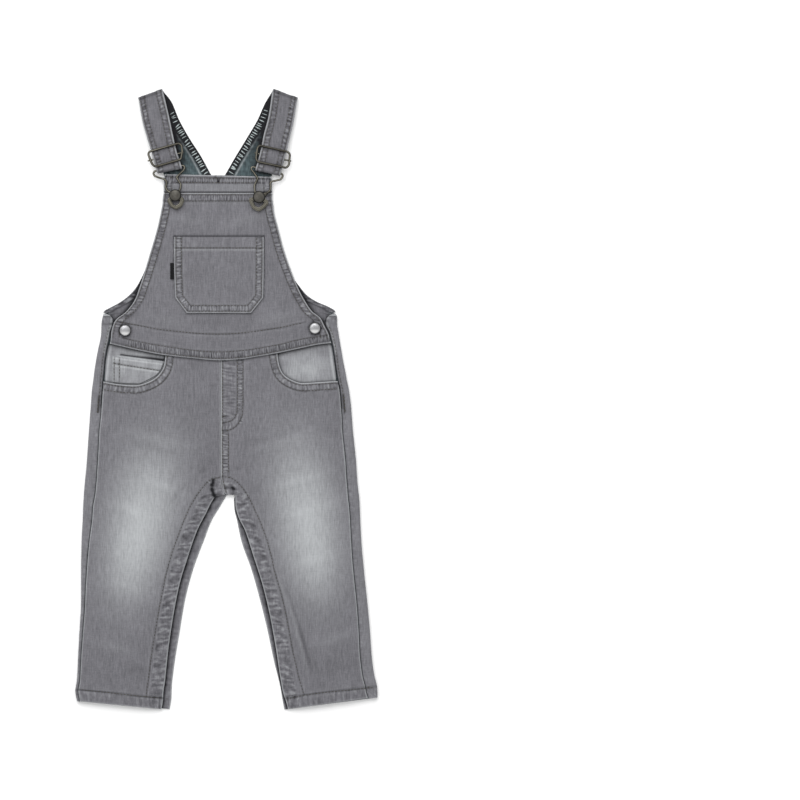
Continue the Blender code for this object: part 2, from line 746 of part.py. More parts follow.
def back_pocket(name, side):
    """A patch pocket under the back, its outer face on the surface."""
    reaches = [POCKET_NEAR, 42.0, 57.5, PATCH_NEAR - 0.5, PATCH_FAR + 0.5, 82.5, 94.0, POCKET_FAR]
    levels = [POCKET_FOOT, POCKET_CORNER, 270.0, 286.5, 289.5, 302.5, 305.5, 309.0, POCKET_TOP]
    has_patch = side < 0

    def point_at(column, row, outside):
        reach = reaches[column]
        level = levels[row]
        middle = (POCKET_NEAR + POCKET_FAR) / 2
        half = (POCKET_FAR - POCKET_NEAR) / 2
        cut = CORNER_CUT if row == 0 else 0.0
        reach = middle + (reach - middle) * (half - cut) / half
        if row == len(levels) - 1:
            level -= POCKET_TILT * (POCKET_FAR - reach) / (POCKET_FAR - POCKET_NEAR)
        lifted = has_patch and column in (3, 4) and row in (4, 5)
        height = (PATCH_LIFT if lifted else 0.0) + (0.0 if outside else THIN_WALL)
        return CENTRE_BACK + side * reach, level, height

    return cloth(name, denim, len(reaches) - 1, len(levels) - 1, point_at)


def label_patch(name):
    """The bare patch sewn on the wearer's right back pocket."""
    table = [
        StripRow(CENTRE_BACK - PATCH_FAR, PATCH_FOOT, CENTRE_BACK - PATCH_NEAR, PATCH_FOOT),
        StripRow(CENTRE_BACK - PATCH_FAR, PATCH_TOP, CENTRE_BACK - PATCH_NEAR, PATCH_TOP),
    ]
    return flat_piece(name, label_cloth, table, 2, PATCH_WALL, lambda x, level: 0.0)


def ends_of(row):
    return Vector((row.left, row.left_level, 0.0)), Vector((row.right, row.right_level, 0.0))


def bend_stations(line, upward, centre_height, hollow, angles):
    """Stations round a fold whose outermost line is given."""
    left, right = ends_of(line)
    along = (right - left).normalized()
    away = Vector((-along.y, along.x, 0.0)) * (1 if upward else -1)
    radius = hollow + STRAP_WALL
    lift = Vector((0.0, 0.0, centre_height))
    stations = []
    for angle in angles:
        heading = away * math.sin(angle) - Vector((0.0, 0.0, math.cos(angle)))
        start = lift - away * radius
        inside = [left + start + heading * hollow, right + start + heading * hollow]
        outside = [left + start + heading * radius, right + start + heading * radius]
        stations.append((inside, outside))
    return stations


def flat_station(row, inside_height, outside_height):
    left, right = ends_of(row)
    inside = [left + Vector((0, 0, inside_height)), right + Vector((0, 0, inside_height))]
    outside = [left + Vector((0, 0, outside_height)), right + Vector((0, 0, outside_height))]
    return inside, outside


def shifted_row(low, high, share):
    return StripRow(*[mix(start, end, share) for start, end in zip(low, high)])


def strap(name, back_rows, fold, front_rows, loop):
    """One strap, from the back's top seam to the end that comes back under the slider."""
    turn = [math.pi * step / 6 for step in range(7)]
    loop_hollow = WIRE + SEAM_GAP
    stations = [flat_station(row, STRAP_WALL, 0.0) for row in back_rows]
    stations += bend_stations(fold, True, STRAP_WALL + STRAP_FOLD, STRAP_FOLD, turn)
    for row, height in zip(front_rows, FRONT_HEIGHTS):
        stations.append(flat_station(row, height, height + STRAP_WALL))
    stations += bend_stations(loop, False, WIRE_HEIGHT, loop_hollow, turn[::-1])
    lower = WIRE_HEIGHT - loop_hollow
    for share in (0.5, 1.0):
        row = shifted_row(loop, front_rows[2], 0.15 + RETURN_REACH * share)
        stations.append(flat_station(row, lower, lower - STRAP_WALL))
    columns = 4

    def point_at(column, row, outside):
        left, right = stations[row][1 if outside else 0]
        point = left.lerp(right, column / columns)
        return point.x, point.y, point.z

    return cloth(name, denim, columns, len(stations) - 1, point_at)


def wire(name, marks, height, closed):
    """A bent wire of one height, as a curve with a round bevel."""
    curve = bpy.data.curves.new(name, "CURVE")
    curve.dimensions = "3D"
    curve.bevel_depth = WIRE * MM
    curve.bevel_resolution = 2
    curve.use_fill_caps = True
    spline = curve.splines.new("POLY")
    spline.points.add(len(marks) - 1)
    for point, mark in zip(spline.points, marks):
        point.co = (*place(mark.x, mark.level, height), 1.0)
    spline.use_cyclic_u = closed
    return add_object(name, curve, old_nickel)


def turned(name, finish, mark, height, profile):
    """A button turned about its own axis, from its top down to its seat."""
    mesh = bmesh.new()
    last = None
    for radius, rise in profile:
        vert = mesh.verts.new(Vector((radius, 0.0, rise)) * MM)
        if last:
            mesh.edges.new((last, vert))
        last = vert
    item = add_mesh(name, mesh, finish)
    item.location = place(mark.x, mark.level, height)
    screw = item.modifiers.new("Turn", "SCREW")
    screw.steps = 20
    screw.render_steps = 20
    screw.use_merge_vertices = True
    screw.merge_threshold = 0.00001
    return item


def buttons():
    seat = bib_height(BIB_BUTTON_RIGHT.x, BIB_BUTTON_RIGHT.level) + WALL + DOUBLED * 0.8 + SEAM_GAP
    cap = WIRE_HEIGHT + WIRE + SEAM_GAP - seat
    shank = 1.9
    bib_profile = [
        (0.0, cap + 2.3),
        (2.4, cap + 2.1),
        (4.4, cap + 1.5),
        (5.6, cap + 0.8),
        (5.8, cap + 0.3),
        (5.5, cap),
        (shank, cap),
        (shank, 0.0),
        (0.0, 0.0),
    ]
    turned("bib_button_right", old_nickel, BIB_BUTTON_RIGHT, seat, bib_profile)
    turned("bib_button_left", old_nickel, BIB_BUTTON_LEFT, seat, bib_profile)
    side_profile = [
        (0.0, 2.4),
        (2.2, 2.3),
        (3.7, 1.9),
        (4.1, 1.6),
        (4.7, 1.7),
        (5.2, 1.3),
        (5.3, 0.6),
        (5.1, 0.0),
        (0.0, 0.0),
    ]
    flap = bib_height(SIDE_BUTTON_RIGHT.x, SIDE_BUTTON_RIGHT.level) + WALL + DOUBLED * 0.8 + SEAM_GAP
    turned("side_button_right", bright_nickel, SIDE_BUTTON_RIGHT, flap, side_profile)
    turned("side_button_left", bright_nickel, SIDE_BUTTON_LEFT, flap, side_profile)


def buckles():
    wire("slider_right", SLIDER_RIGHT, FRAME_HEIGHT, True)
    wire("slider_left", SLIDER_LEFT, FRAME_HEIGHT, True)
    wire("slide_bar_right", SLIDE_BAR_RIGHT, WIRE_HEIGHT, False)
    wire("slide_bar_left", SLIDE_BAR_LEFT, WIRE_HEIGHT, False)
    wire("hook_right", HOOK_RIGHT, WIRE_HEIGHT, True)
    wire("hook_left", HOOK_LEFT, WIRE_HEIGHT, True)


def garment_cloth():
    back_panel("back_right", BACK_RIGHT, -1)
    back_panel("back_left", BACK_LEFT, 1)
    back_pocket("back_pocket_right", -1)
    back_pocket("back_pocket_left", 1)
    label_patch("pocket_patch")
    front_panel("front_right", FRONT_RIGHT, -1, fly=False)
    front_panel("front_left", FRONT_LEFT, 1, fly=True)
    flat_piece("facing_right", washed_denim, FACING_RIGHT, 6, THIN_WALL, facing_height, under_waist=True)
    flat_piece("facing_left", washed_denim, FACING_LEFT, 6, THIN_WALL, facing_height, under_waist=True)
    flat_piece("coin_pocket", washed_denim, COIN_POCKET, 5, THIN_WALL, on_facing, COIN_HEM_ROW, True)
    bib_piece("bib", BIB, True)
    bib_piece("bib_yoke", YOKE, False)
    flat_piece("bib_pocket", denim, BIB_POCKET, 8, WALL, on_bib, POCKET_HEM_ROW)
    flat_piece("loop_tab", label_cloth, LOOP_TAB, 1, THIN_WALL, on_bib)
    strap("strap_right", STRAP_RIGHT_BACK, STRAP_RIGHT_FOLD, STRAP_RIGHT_FRONT, STRAP_RIGHT_LOOP)
    strap("strap_left", STRAP_LEFT_BACK, STRAP_LEFT_FOLD, STRAP_LEFT_FRONT, STRAP_LEFT_LOOP)


for old in list(bpy.data.objects):
    bpy.data.objects.remove(old, do_unlink=True)
garment = bpy.data.collections.new("dungarees")
bpy.context.scene.collection.children.link(garment)
garment_cloth()
buckles()
buttons()
bpy.context.view_layer.update()
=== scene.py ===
import math

import bmesh
import bpy
import numpy as np
from mathutils import Matrix, Vector
from mathutils.bvhtree import BVHTree


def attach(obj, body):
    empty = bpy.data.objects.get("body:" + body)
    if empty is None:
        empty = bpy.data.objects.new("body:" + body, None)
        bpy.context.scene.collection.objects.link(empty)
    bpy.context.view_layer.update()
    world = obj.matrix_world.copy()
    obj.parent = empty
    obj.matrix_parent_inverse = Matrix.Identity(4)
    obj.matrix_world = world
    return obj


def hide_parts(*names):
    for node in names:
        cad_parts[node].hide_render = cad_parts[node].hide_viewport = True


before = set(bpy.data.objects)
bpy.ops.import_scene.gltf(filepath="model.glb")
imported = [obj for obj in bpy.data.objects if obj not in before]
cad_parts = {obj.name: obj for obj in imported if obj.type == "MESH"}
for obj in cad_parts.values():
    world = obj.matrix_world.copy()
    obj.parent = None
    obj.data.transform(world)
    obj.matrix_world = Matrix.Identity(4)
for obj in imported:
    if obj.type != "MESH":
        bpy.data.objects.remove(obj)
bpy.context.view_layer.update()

# A toddler's grey denim dungarees, laid flat with the front up.
# X runs to the wearer's left and Y up the garment. Until a point is placed it is
# in millimetres: x, the level above the lowest hem, and the height off the floor.

mm = 0.001

# layers shared by the pieces
layers = {
    "originLevel": 295.25,
    "wall": 1.2,             # one layer of denim
    "thinWall": 1.0,         # pocket cloth
    "seamGap": 0.3,
    "seamMeet": 0.04,        # pieces sewn edge to edge all but touch
    "sideGap": 0.5,
    "foldRadius": 0.9,       # hollow side of the folded outer edge
    "topLayer": 3.0,         # underside of the front
    "restingLayer": 1.5,
    "fullness": 0.8,         # how far the front stands up between its seams
    "doubled": 0.6,          # what a turned edge adds
    "edgeRadius": 0.8,       # rounding of a turned edge
    "centreBack": -6.0,
    "armholeLevel": 372.0,
}
wall = layers["wall"]
seamGap = layers["seamGap"]
centreBack = layers["centreBack"]
sideName = {-1: "right", 1: "left"}
runScale = 400.0          # keeps the run attribute between 0 and 1


# plain arithmetic on whole arrays
def smooth(value):
    value = np.clip(value, 0.0, 1.0)
    return value * value * (3 - 2 * value)


def plateau(value, low, high, ramp):   # 1 between low and high
    return smooth((value - low) / ramp + 1) * smooth((high - value) / ramp + 1)


def mix(start, end, share):
    return start + (end - start) * share


def bump(distance, width):
    return np.exp(-(distance / width) ** 2)


def waver(along, size, seed):   # an uneven wave from -1 to 1, about size between crests
    rng = np.random.default_rng(seed)
    total = 0.0
    for stretch, share in ((0.71, 0.3), (1.0, 0.4), (1.43, 0.3), (2.3, 0.2)):
        total = total + share * np.sin(2 * np.pi * along / (size * stretch) + rng.uniform(0, 6.28))
    return total


def mottle(x, level, size, seed):   # uneven patches from -1 to 1, about size across
    rng = np.random.default_rng(seed)
    total = np.zeros_like(x)
    for _ in range(7):
        angle = rng.uniform(0, np.pi)
        pitch = size * rng.uniform(0.7, 1.6)
        along = x * np.cos(angle) + level * np.sin(angle)
        total += np.sin(2 * np.pi * along / pitch + rng.uniform(0, 6.28))
    return total / 3.5


def throughPoints(knots, values, at):   # a smooth line through the points, with no overswing
    gaps = np.diff(knots)
    slopes = np.diff(values) / gaps
    tangents = np.zeros(len(values))
    tangents[0], tangents[-1] = slopes[0], slopes[-1]
    for i in range(1, len(values) - 1):
        if slopes[i - 1] * slopes[i] > 0:
            near, far = 2 * gaps[i] + gaps[i - 1], gaps[i] + 2 * gaps[i - 1]
            tangents[i] = (near + far) / (near / slopes[i - 1] + far / slopes[i])
    i = np.clip(np.searchsorted(knots, at, side="right") - 1, 0, len(gaps) - 1)
    t = (at - knots[i]) / gaps[i]
    rise = (values[i + 1] - values[i]) * t * t * (3 - 2 * t)
    swing = gaps[i] * t * (1 - t) * (tangents[i] * (1 - t) - tangents[i + 1] * t)
    return values[i] + rise + swing


def sharpPoints(knots, values, at):
    return np.interp(at, knots, values)


def runOf(steps):   # length run so far
    return np.concatenate([[0.0], np.cumsum(steps)])


def pointAt(line, run, at):
    return np.array([np.interp(at, run, line[:, 0]), np.interp(at, run, line[:, 1])])


def blended(knots, columns, at, blend=throughPoints):   # each column of a table, read between its rows
    return [blend(knots, column, at) for column in columns]


def knotsOf(x1, level1, x2, level2):   # length run so far, midway between the two edges
    near = np.hypot(np.diff(x1), np.diff(level1))
    far = np.hypot(np.diff(x2), np.diff(level2))
    return runOf((near + far) / 2)


def nearestOn(x, level, line):   # how far each point lies from a line, and how far along it
    nearest = np.full(len(x), 1e6)
    along = np.zeros(len(x))
    run = 0.0
    for (x1, level1), (x2, level2) in zip(line, line[1:]):
        dx, dy = x2 - x1, level2 - level1
        length = max(math.hypot(dx, dy), 1e-6)
        share = np.clip(((x - x1) * dx + (level - level1) * dy) / length ** 2, 0, 1)
        off = np.hypot(x - x1 - share * dx, level - level1 - share * dy)
        along = np.where(off < nearest, run + share * length, along)
        nearest = np.minimum(nearest, off)
        run += length
    return nearest, along


def distanceTo(x, level, line):
    return nearestOn(x, level, line)[0]


def curveOf(points, step=4.0):   # a smooth line through a few points
    points = np.array(points, float)
    knots = runOf(np.hypot(*np.diff(points, axis=0).T))
    at = np.linspace(0, knots[-1], max(2, int(knots[-1] / step) + 1))
    return np.column_stack(blended(knots, points.T, at))


def beside(line, distance):   # the same line moved sideways, to its left if distance is positive
    line = np.array(line, float)
    heading = np.gradient(line, axis=0)
    heading /= np.maximum(np.hypot(heading[:, 0], heading[:, 1]), 1e-9)[:, None]
    return line + distance * np.column_stack([-heading[:, 1], heading[:, 0]])


def insetCorners(points, distance):   # a line of straight runs moved sideways, its corners kept
    points = np.array(points, float)
    runs = np.diff(points, axis=0)
    runs /= np.hypot(runs[:, 0], runs[:, 1])[:, None]
    normals = np.column_stack([-runs[:, 1], runs[:, 0]])
    moved = [points[0] + distance * normals[0]]
    for before, after, point in zip(normals, normals[1:], points[1:-1]):
        halfway = before + after
        moved.append(point + distance * halfway / (1 + before @ after))
    moved.append(points[-1] + distance * normals[-1])
    return np.array(moved)


# how a piece of cloth is divided: fine at its edges, wider between them

turnedEdge = [0.0, 0.12, 0.35, 0.75, 1.3, 2.0, 2.9]
bandEdge = turnedEdge + [4.0, 5.2, 6.4, 7.6, 8.8]


def columnPlan(nearStops, farStops, middle):   # a column lies at start + share * width
    starts = list(nearStops)
    shares = [0.0] * len(nearStops)
    for step in range(1, middle + 1):
        share = step / (middle + 1)
        starts.append(mix(nearStops[-1], -farStops[-1], share))
        shares.append(share)
    starts += [-stop for stop in reversed(farStops)]
    shares += [1.0] * len(farStops)
    return np.array(starts), np.array(shares)


def rowPlan(total, step, nearStops=turnedEdge, farStops=turnedEdge):
    middle = max(1, int((total - nearStops[-1] - farStops[-1]) / step))
    starts, shares = columnPlan(nearStops, farStops, middle)
    return starts + shares * total


def edgeDrop(distance):   # how far a turned edge rounds down
    radius = layers["edgeRadius"]
    inside = np.clip(1 - distance / radius, 0, 1)
    return radius * (1 - np.sqrt(np.maximum(1 - inside ** 2, 0)))


def place(x, level, height):
    return Vector((x, level - layers["originLevel"], height)) * mm


def spotsOf(mesh):   # where the mesh's points are
    flat = np.empty(len(mesh.vertices) * 3, np.float32)
    mesh.vertices.foreach_get("co", flat)
    return flat.reshape(-1, 3)


def markMesh(mesh, mark, values):   # a value from 0 to 1 at each point, for the finishes
    values = np.broadcast_to(np.clip(values, 0, 1), (len(mesh.vertices),)).astype(np.float32)
    mesh.attributes.new(mark, "FLOAT", "POINT").data.foreach_set("value", values)


def meshFrom(shape, name):
    mesh = bpy.data.meshes.new(name)
    shape.to_mesh(mesh)
    shape.free()
    return mesh


def smoothed(mesh, sharpest=60):   # smooth up to an angle in degrees
    mesh.shade_smooth()
    mesh.set_sharp_from_angle(angle=math.radians(sharpest))


def linked(name, data):   # a new object in the scene
    item = bpy.data.objects.new(name, data)
    bpy.context.scene.collection.objects.link(item)
    return item


def addPiece(name, mesh, finish, node, replaces=True):
    piece = linked(name, mesh)
    piece.data.materials.append(finish)
    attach(piece, "root")
    if replaces:
        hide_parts(node)
    return piece


def clothPiece(name, columns, rows, shape, finish):
    # a closed wall of cloth, shaped cell by cell
    sheet = bmesh.new()
    bmesh.ops.create_grid(sheet, x_segments=columns, y_segments=rows, size=0.5)
    raised = bmesh.ops.extrude_face_region(sheet, geom=sheet.faces[:])
    outer = [item for item in raised["geom"] if isinstance(item, bmesh.types.BMVert)]
    bmesh.ops.translate(sheet, verts=outer, vec=(0, 0, 1))
    bmesh.ops.recalc_face_normals(sheet, faces=sheet.faces[:])
    mesh = meshFrom(sheet, name)
    flat = spotsOf(mesh)
    column = np.rint((flat[:, 0] + 0.5) * columns).astype(int)
    row = np.rint((flat[:, 1] + 0.5) * rows).astype(int)
    x, level, height, marks = shape(column, row, flat[:, 2] > 0.5)
    spots = np.column_stack([x, level - layers["originLevel"], height]) * mm
    mesh.vertices.foreach_set("co", spots.astype(np.float32).ravel())
    for mark, values in marks.items():
        markMesh(mesh, mark, values)
    check = bmesh.new()
    check.from_mesh(mesh)
    if check.calc_volume(signed=True) < 0:
        mesh.flip_normals()
    check.free()
    smoothed(mesh)
    piece = addPiece(name + "_cloth", mesh, finish, name)


# waist seam, from the wearer's right to the wearer's left
waistSeam = np.array([
    (-117.5, 349.5), (-111, 348), (-100.5, 345.5), (-80.5, 341), (-59, 337),
    (-33, 334), (-6, 332), (13.5, 333), (29.5, 335.5), (49, 339),
    (72.5, 344), (87, 347), (100, 348.5), (106, 349),
])


def waistLevel(x):
    return throughPoints(waistSeam[:, 0], waistSeam[:, 1], np.clip(x, waistSeam[0, 0], waistSeam[-1, 0]))


# back panels, hem to top: level at the folded outer edge and at the inner edge,
# outer edge, how far the cloth comes round on to the front, inner edge
backPiece = {
    "step": 2.1,
    "foldSteps": 8,
    "right": [
        (8.5, 1, -142, 2.5, -54),
        (18.5, 11.5, -143.5, 2.5, -52.5),
        (28.5, 23, -142, 2.5, -52),
        (47.5, 44.5, -141, 2.5, -49.5),
        (76, 75, -139.5, 3, -44.5),
        (104.5, 104.5, -138, 3.5, -39.5),
        (133, 133, -138, 5, -32),
        (161.5, 161.5, -137.5, 7, -21.5),
        (180.5, 180.5, -136.5, 8.5, -14),
        (194, 193, -136, 9, -6.5),
        (202.5, 200.5, -135.5, 10, -2),
        (208.8, 204.3, -135.1, 10.5, 0.7),
        (211.2, 205.3, -134.9, 10.5, 7.3),
        (221, 216.5, -134, 10.5, 0.5),
        (230, 229.5, -133, 10, -2.5),
        (237, 237, -132.5, 10, -4),
        (266, 266, -130.5, 9.5, -4.5),
        (279.5, 279.5, -129.5, 10, -5),
        (286, 286, -129, 10, -5),
        (306, 306, -127.5, 10, -5),
        (312.5, 312.5, -126.5, 9.5, -5.5),
        (321, 321, -125.5, 9.5, -5.5),
        (328, 328, -124.5, 9, -5.5),
        (342, 342, -122, 8.5, -6),
        (357, 357, -119, 8.5, -6),
        (368.5, 368.5, -118.5, 11.5, -6.5),
        (373.5, 372.5, -117.5, 9.5, -6.5),
        (376, 374.5, -117, 5, -6.5),
        (378, 376, -117, 0, -6.5),
        (382, 379, -111, 0, -6.5),
        (386.5, 384, -102.5, 0, -6.5),
        (393.5, 389.5, -93, 0, -7),
        (402, 399, -85.5, 0, -7),
        (413, 411.5, -79.5, 0, -7),
        (429.5, 428.5, -73, 0, -7),
        (448.5, 448.5, -67.5, 0, -7),
        (467.5, 467.5, -62.5, 0, -7.5),
        (484.5, 484.5, -59.5, 0, -7.5),
        (507, 508, -58, 0, -7.5),
    ],
    "left": [
        (12, 0.5, 143.5, 8.5, 55),
        (22, 11.5, 143, 10.5, 53),
        (32.5, 23, 140.5, 10.5, 51),
        (50.5, 47.5, 138, 10.5, 45),
        (78, 76, 136, 10, 39),
        (104.5, 104.5, 133.5, 9.5, 32),
        (133, 133, 130.5, 9.5, 24),
        (161.5, 161.5, 128, 9, 14),
        (180.5, 180.5, 127, 9, 10),
        (194, 192, 126.5, 9.5, 7.5),
        (202.5, 200.5, 126, 10, 7.2),
        (208.8, 204.3, 125.1, 9.6, 8.2),
        (211.2, 205.3, 124.9, 9.5, 7.8),
        (221, 216.5, 124, 9.5, 1),
        (230, 229.5, 123.5, 9.5, -2),
        (237, 237, 123, 9.5, -3.5),
        (266, 266, 120, 9.5, -4),
        (279.5, 279.5, 119, 9, -4.5),
        (286, 286, 118.5, 9, -4.5),
        (306, 306, 116, 8.5, -4.5),
        (312.5, 312.5, 114.5, 8.5, -5),
        (321, 321, 113, 8.5, -5),
        (328, 328, 111.5, 8, -5),
        (342, 342, 109, 7.5, -5.5),
        (357, 357, 106.5, 8.3, -5.5),
        (368.5, 368.5, 105, 11.5, -6),
        (373.5, 372.5, 105, 10, -6),
        (376, 374.5, 104, 5, -6),
        (378.5, 376, 103.5, 0, -6),
        (383, 380, 97, 0, -6),
        (387.5, 384, 86.5, 0, -6),
        (393.5, 389.5, 77, 0, -6.5),
        (402, 399, 69.5, 0, -6.5),
        (413, 411.5, 62, 0, -6.5),
        (429.5, 428.5, 56, 0, -6.5),
        (448.5, 448.5, 50.5, 0, -6.5),
        (467.5, 467.5, 45.5, 0, -7),
        (484.5, 484.5, 42.5, 0, -7),
        (506.5, 508, 42, 0, -7),
    ],
}


def backRows(side):
    outerLevel, innerLevel, outer, strip, inner = np.array(backPiece[sideName[side]], float).T
    return knotsOf(outer, outerLevel, inner, innerLevel), [outerLevel, innerLevel, outer, strip, inner]


def seamLine(side):   # where the back's cloth ends on the front
    knots, columns = backRows(side)
    lastStrip = int(np.argmin(columns[3] > 0)) - 1
    at = np.linspace(0, knots[lastStrip], 400)
    outerLevel, innerLevel, outer, strip, inner = blended(knots, columns, at)
    return mix(outerLevel, innerLevel, strip / abs(inner - outer)), outer - side * strip


sideSeams = {side: seamLine(side) for side in (-1, 1)}


def sideSeam(side, level):
    return np.interp(level, *sideSeams[side])


def withinSeams(x, level):
    return np.clip(x, sideSeam(-1, level) + seamGap, sideSeam(1, level) - seamGap)


# seat pockets under the back, measured from the centre back seam
seatPocket = {"near": 27.0, "far": 105.0, "foot": 239.0, "corner": 252.0, "top": 319.0, "tilt": 5.0,
              "cornerCut": 12.0, "hem": 10.5, "bandLow": 268.5, "bandHigh": 273.5, "stitched": (1.7, 6.8)}
seatPatch = {"near": 61.0, "far": 79.0, "foot": 290.0, "top": 302.0, "wall": 0.7}


def zoneOver(x, level, piece, near, far, foot, top, ramp):   # 1 over a piece, let out by so much
    return (plateau(abs(x - centreBack), piece["near"] - near, piece["far"] + far, ramp)
            * plateau(level, piece["foot"] - foot, piece["top"] + top, ramp))


def liftOver(x, level, pocketEase, patchEase):
    lift = (layers["thinWall"] + seamGap) * zoneOver(x, level, seatPocket, *pocketEase)
    return lift + (seatPatch["wall"] + seamGap) * zoneOver(x, level, seatPatch, *patchEase) * (x < centreBack)


def backLift(x, level):   # the back rises where its pockets lie under it
    return liftOver(x, level, (1, 1, 2, 2, 6), (5, 5, 4, 4, 6))


def hipLift(x, level):   # the same rise, softened by the layers in between
    return liftOver(x, level, (5, 3, 8, 11, 9), (8, 8, 6, 6, 9))


def frontLift(x, level):   # softer still, so that no step shows through the front
    pocket = seatPocket
    off = abs(x - centreBack)
    across = smooth((off - 8) / 34) * smooth((pocket["far"] + 12 - off) / 9)
    return (layers["thinWall"] + seamGap) * across * smooth((level - 200) / 62) * smooth((341 - level) / 10)


# creases: from x, level to x, level, half width, height (a trough is negative)
creases = {
    "front": [
        (50.5, 126, 64.5, 86, 2.4, 0.5), (62.5, 92, 77.5, 36, 2.2, 0.7),
        (54, 122, 66.5, 88, 1.7, -0.6), (66.5, 90, 81, 36, 1.7, -1),
        (-46, 160, -60, 118, 2.4, -0.35), (-52, 196, -40, 214, 3, -0.4),
        (-25.5, 226, -12, 230, 1.7, -0.7), (6.5, 229.5, 15, 229, 1.6, -0.6),
        (-98, 264, -30, 249, 5.5, 0.35), (-88, 255, -42, 240, 4, -0.28),
        (24, 246, 86, 262, 5, 0.32), (18, 252, 62, 262, 4, -0.3),
        (-78, 218, -34, 203, 4, 0.4), (40, 208, 92, 224, 4.5, 0.4),
        (-126, 66, -88, 55, 5, 0.35), (84, 62, 124, 74, 5, 0.35),
        (-118, 122, -72, 112, 5, 0.3), (58, 136, 108, 148, 5, 0.3),
        (-112, 196, -66, 180, 6, 0.35), (60, 182, 110, 196, 6, 0.3),
        (-70, 40, -112, 36, 4.5, -0.3), (92, 34, 122, 44, 4, -0.3),
    ],
    "bib": [
        (-70, 372, -40, 366, 5, 0.3), (30, 368, 66, 376, 5, 0.3),
        (-30, 366, 18, 368, 4, -0.25), (-56, 470, -20, 462, 5, 0.25),
        (4, 462, 38, 470, 5, 0.25), (-78, 400, -60, 428, 4, 0.2),
    ],
}


def foldHeight(x, level, strokes):
    return 0.15 * mottle(x, level, 46.0, 11) + strokeHeight(x, level, strokes)


def strokeHeight(x, level, strokes):
    total = np.zeros_like(x)
    for x1, level1, x2, level2, width, height in strokes:
        dx, dy = x2 - x1, level2 - level1
        share = np.clip(((x - x1) * dx + (level - level1) * dy) / (dx * dx + dy * dy), 0, 1)
        off = np.hypot(x - x1 - share * dx, level - level1 - share * dy)
        total = total + height * bump(off, width) * np.sqrt(np.sin(np.pi * np.clip(share, 0.04, 0.96)))
    return total


# where the cloth was rubbed and washed pale: x, level, half width, half length, lean, strength
washes = {
    "front": [(-80.0, 182.0, 32.0, 68.0, 0.16, 0.48), (-92.0, 140.0, 18.0, 40.0, 0.10, 0.14),
              (76.0, 182.0, 30.0, 70.0, -0.13, 0.48), (84.0, 140.0, 16.0, 40.0, -0.06, 0.10)],
    "back": [(-78.0, 336.0, 34.0, 18.0, 0.0, 0.34), (66.0, 336.0, 34.0, 18.0, 0.0, 0.34),
             (-84.0, 214.0, 34.0, 30.0, 0.0, 0.34), (70.0, 214.0, 34.0, 30.0, 0.0, 0.34)],
}


def washOf(x, level, zones):
    total = np.zeros_like(x)
    for x0, level0, width, length, lean, strength in zones:
        off = (x - x0 - lean * (level - level0)) / width
        total = total + strength * np.exp(-np.abs(off) ** 2.2 - np.abs((level - level0) / length) ** 2.4)
    return total


# what sewing does to cloth: a ditch at each line of stitches, puckers between two
# lines, a pale worn line along a turned edge

sewingTone = {"ditchDepth": 0.22, "ditchWidth": 0.75, "ditchDark": 0.40, "besideThread": 0.05,
              "edgePale": 0.34, "puckerHeight": 0.10, "shadowDark": 0.8, "creasePale": 0.16,
              "creaseDark": 0.34}


def blankMarks(x):
    return {name: np.zeros_like(x) for name in ("relief", "pale", "dark", "rib", "run")}


def addDitch(marks, off, width=0.8, mask=1.0):
    marks["relief"] -= sewingTone["ditchDepth"] * bump(off, width) * mask
    # painted shade in the ditch along the stitches
    marks["dark"] += sewingTone["ditchDark"] * bump(off, width) * mask


def addLines(marks, x, level, lines):
    for line in lines:
        off = distanceTo(x, level, line)
        addDitch(marks, off, sewingTone["ditchWidth"])
        marks["pale"] += sewingTone["besideThread"] * bump(off - 1.8, 0.8)


def addPuckers(marks, across, low, high, along, size, seed, mask=1.0, strength=1.0, lean=0.1):
    # rib says how strongly the denim draws its ridges here, run counts them along the band
    mask = np.broadcast_to(mask, across.shape)
    inBand = plateau(across, low + 0.7, high - 0.7, 0.9) * mask * strength
    marks["relief"] += sewingTone["puckerHeight"] * inBand * waver(along, size * 2.2, seed)
    marks["rib"] = np.maximum(marks["rib"], np.minimum(inBand, 1.0))
    count = (along + lean * (across - low) + 200.0 + 3.7 * (seed % 7)) / size
    marks["run"] = np.where((across > low - 1.5) & (across < high + 1.5) & (mask > 0), count, marks["run"])


def addFolds(marks, x, level, strokes, mask):   # a crease is rubbed pale on top and shaded below
    rise = strokeHeight(x, level, strokes)
    marks["pale"] += sewingTone["creasePale"] * np.maximum(rise, 0) * mask
    marks["dark"] += sewingTone["creaseDark"] * np.maximum(-rise, 0) * mask


def addEdge(marks, distance, mask=1.0):
    marks["relief"] -= edgeDrop(distance) * mask
    marks["pale"] += sewingTone["edgePale"] * bump(distance - 0.45, 0.6) * mask


def addShadow(marks, distance, width=1.2, mask=1.0):   # painted shade close under an edge
    marks["dark"] += sewingTone["shadowDark"] * bump(distance, width) * mask


def onFace(face, values):   # values for one side of the cloth, nought on the other
    full = np.zeros(len(face))
    full[face] = values
    return full


def marksFor(face, marks):   # the attributes that the denim reads
    found = {name: onFace(face, marks[name]) for name in ("pale", "dark", "rib")}
    found["wrong"] = np.where(face, 0.0, 1.0)
    found["run"] = onFace(face, marks["run"] / runScale)
    return found


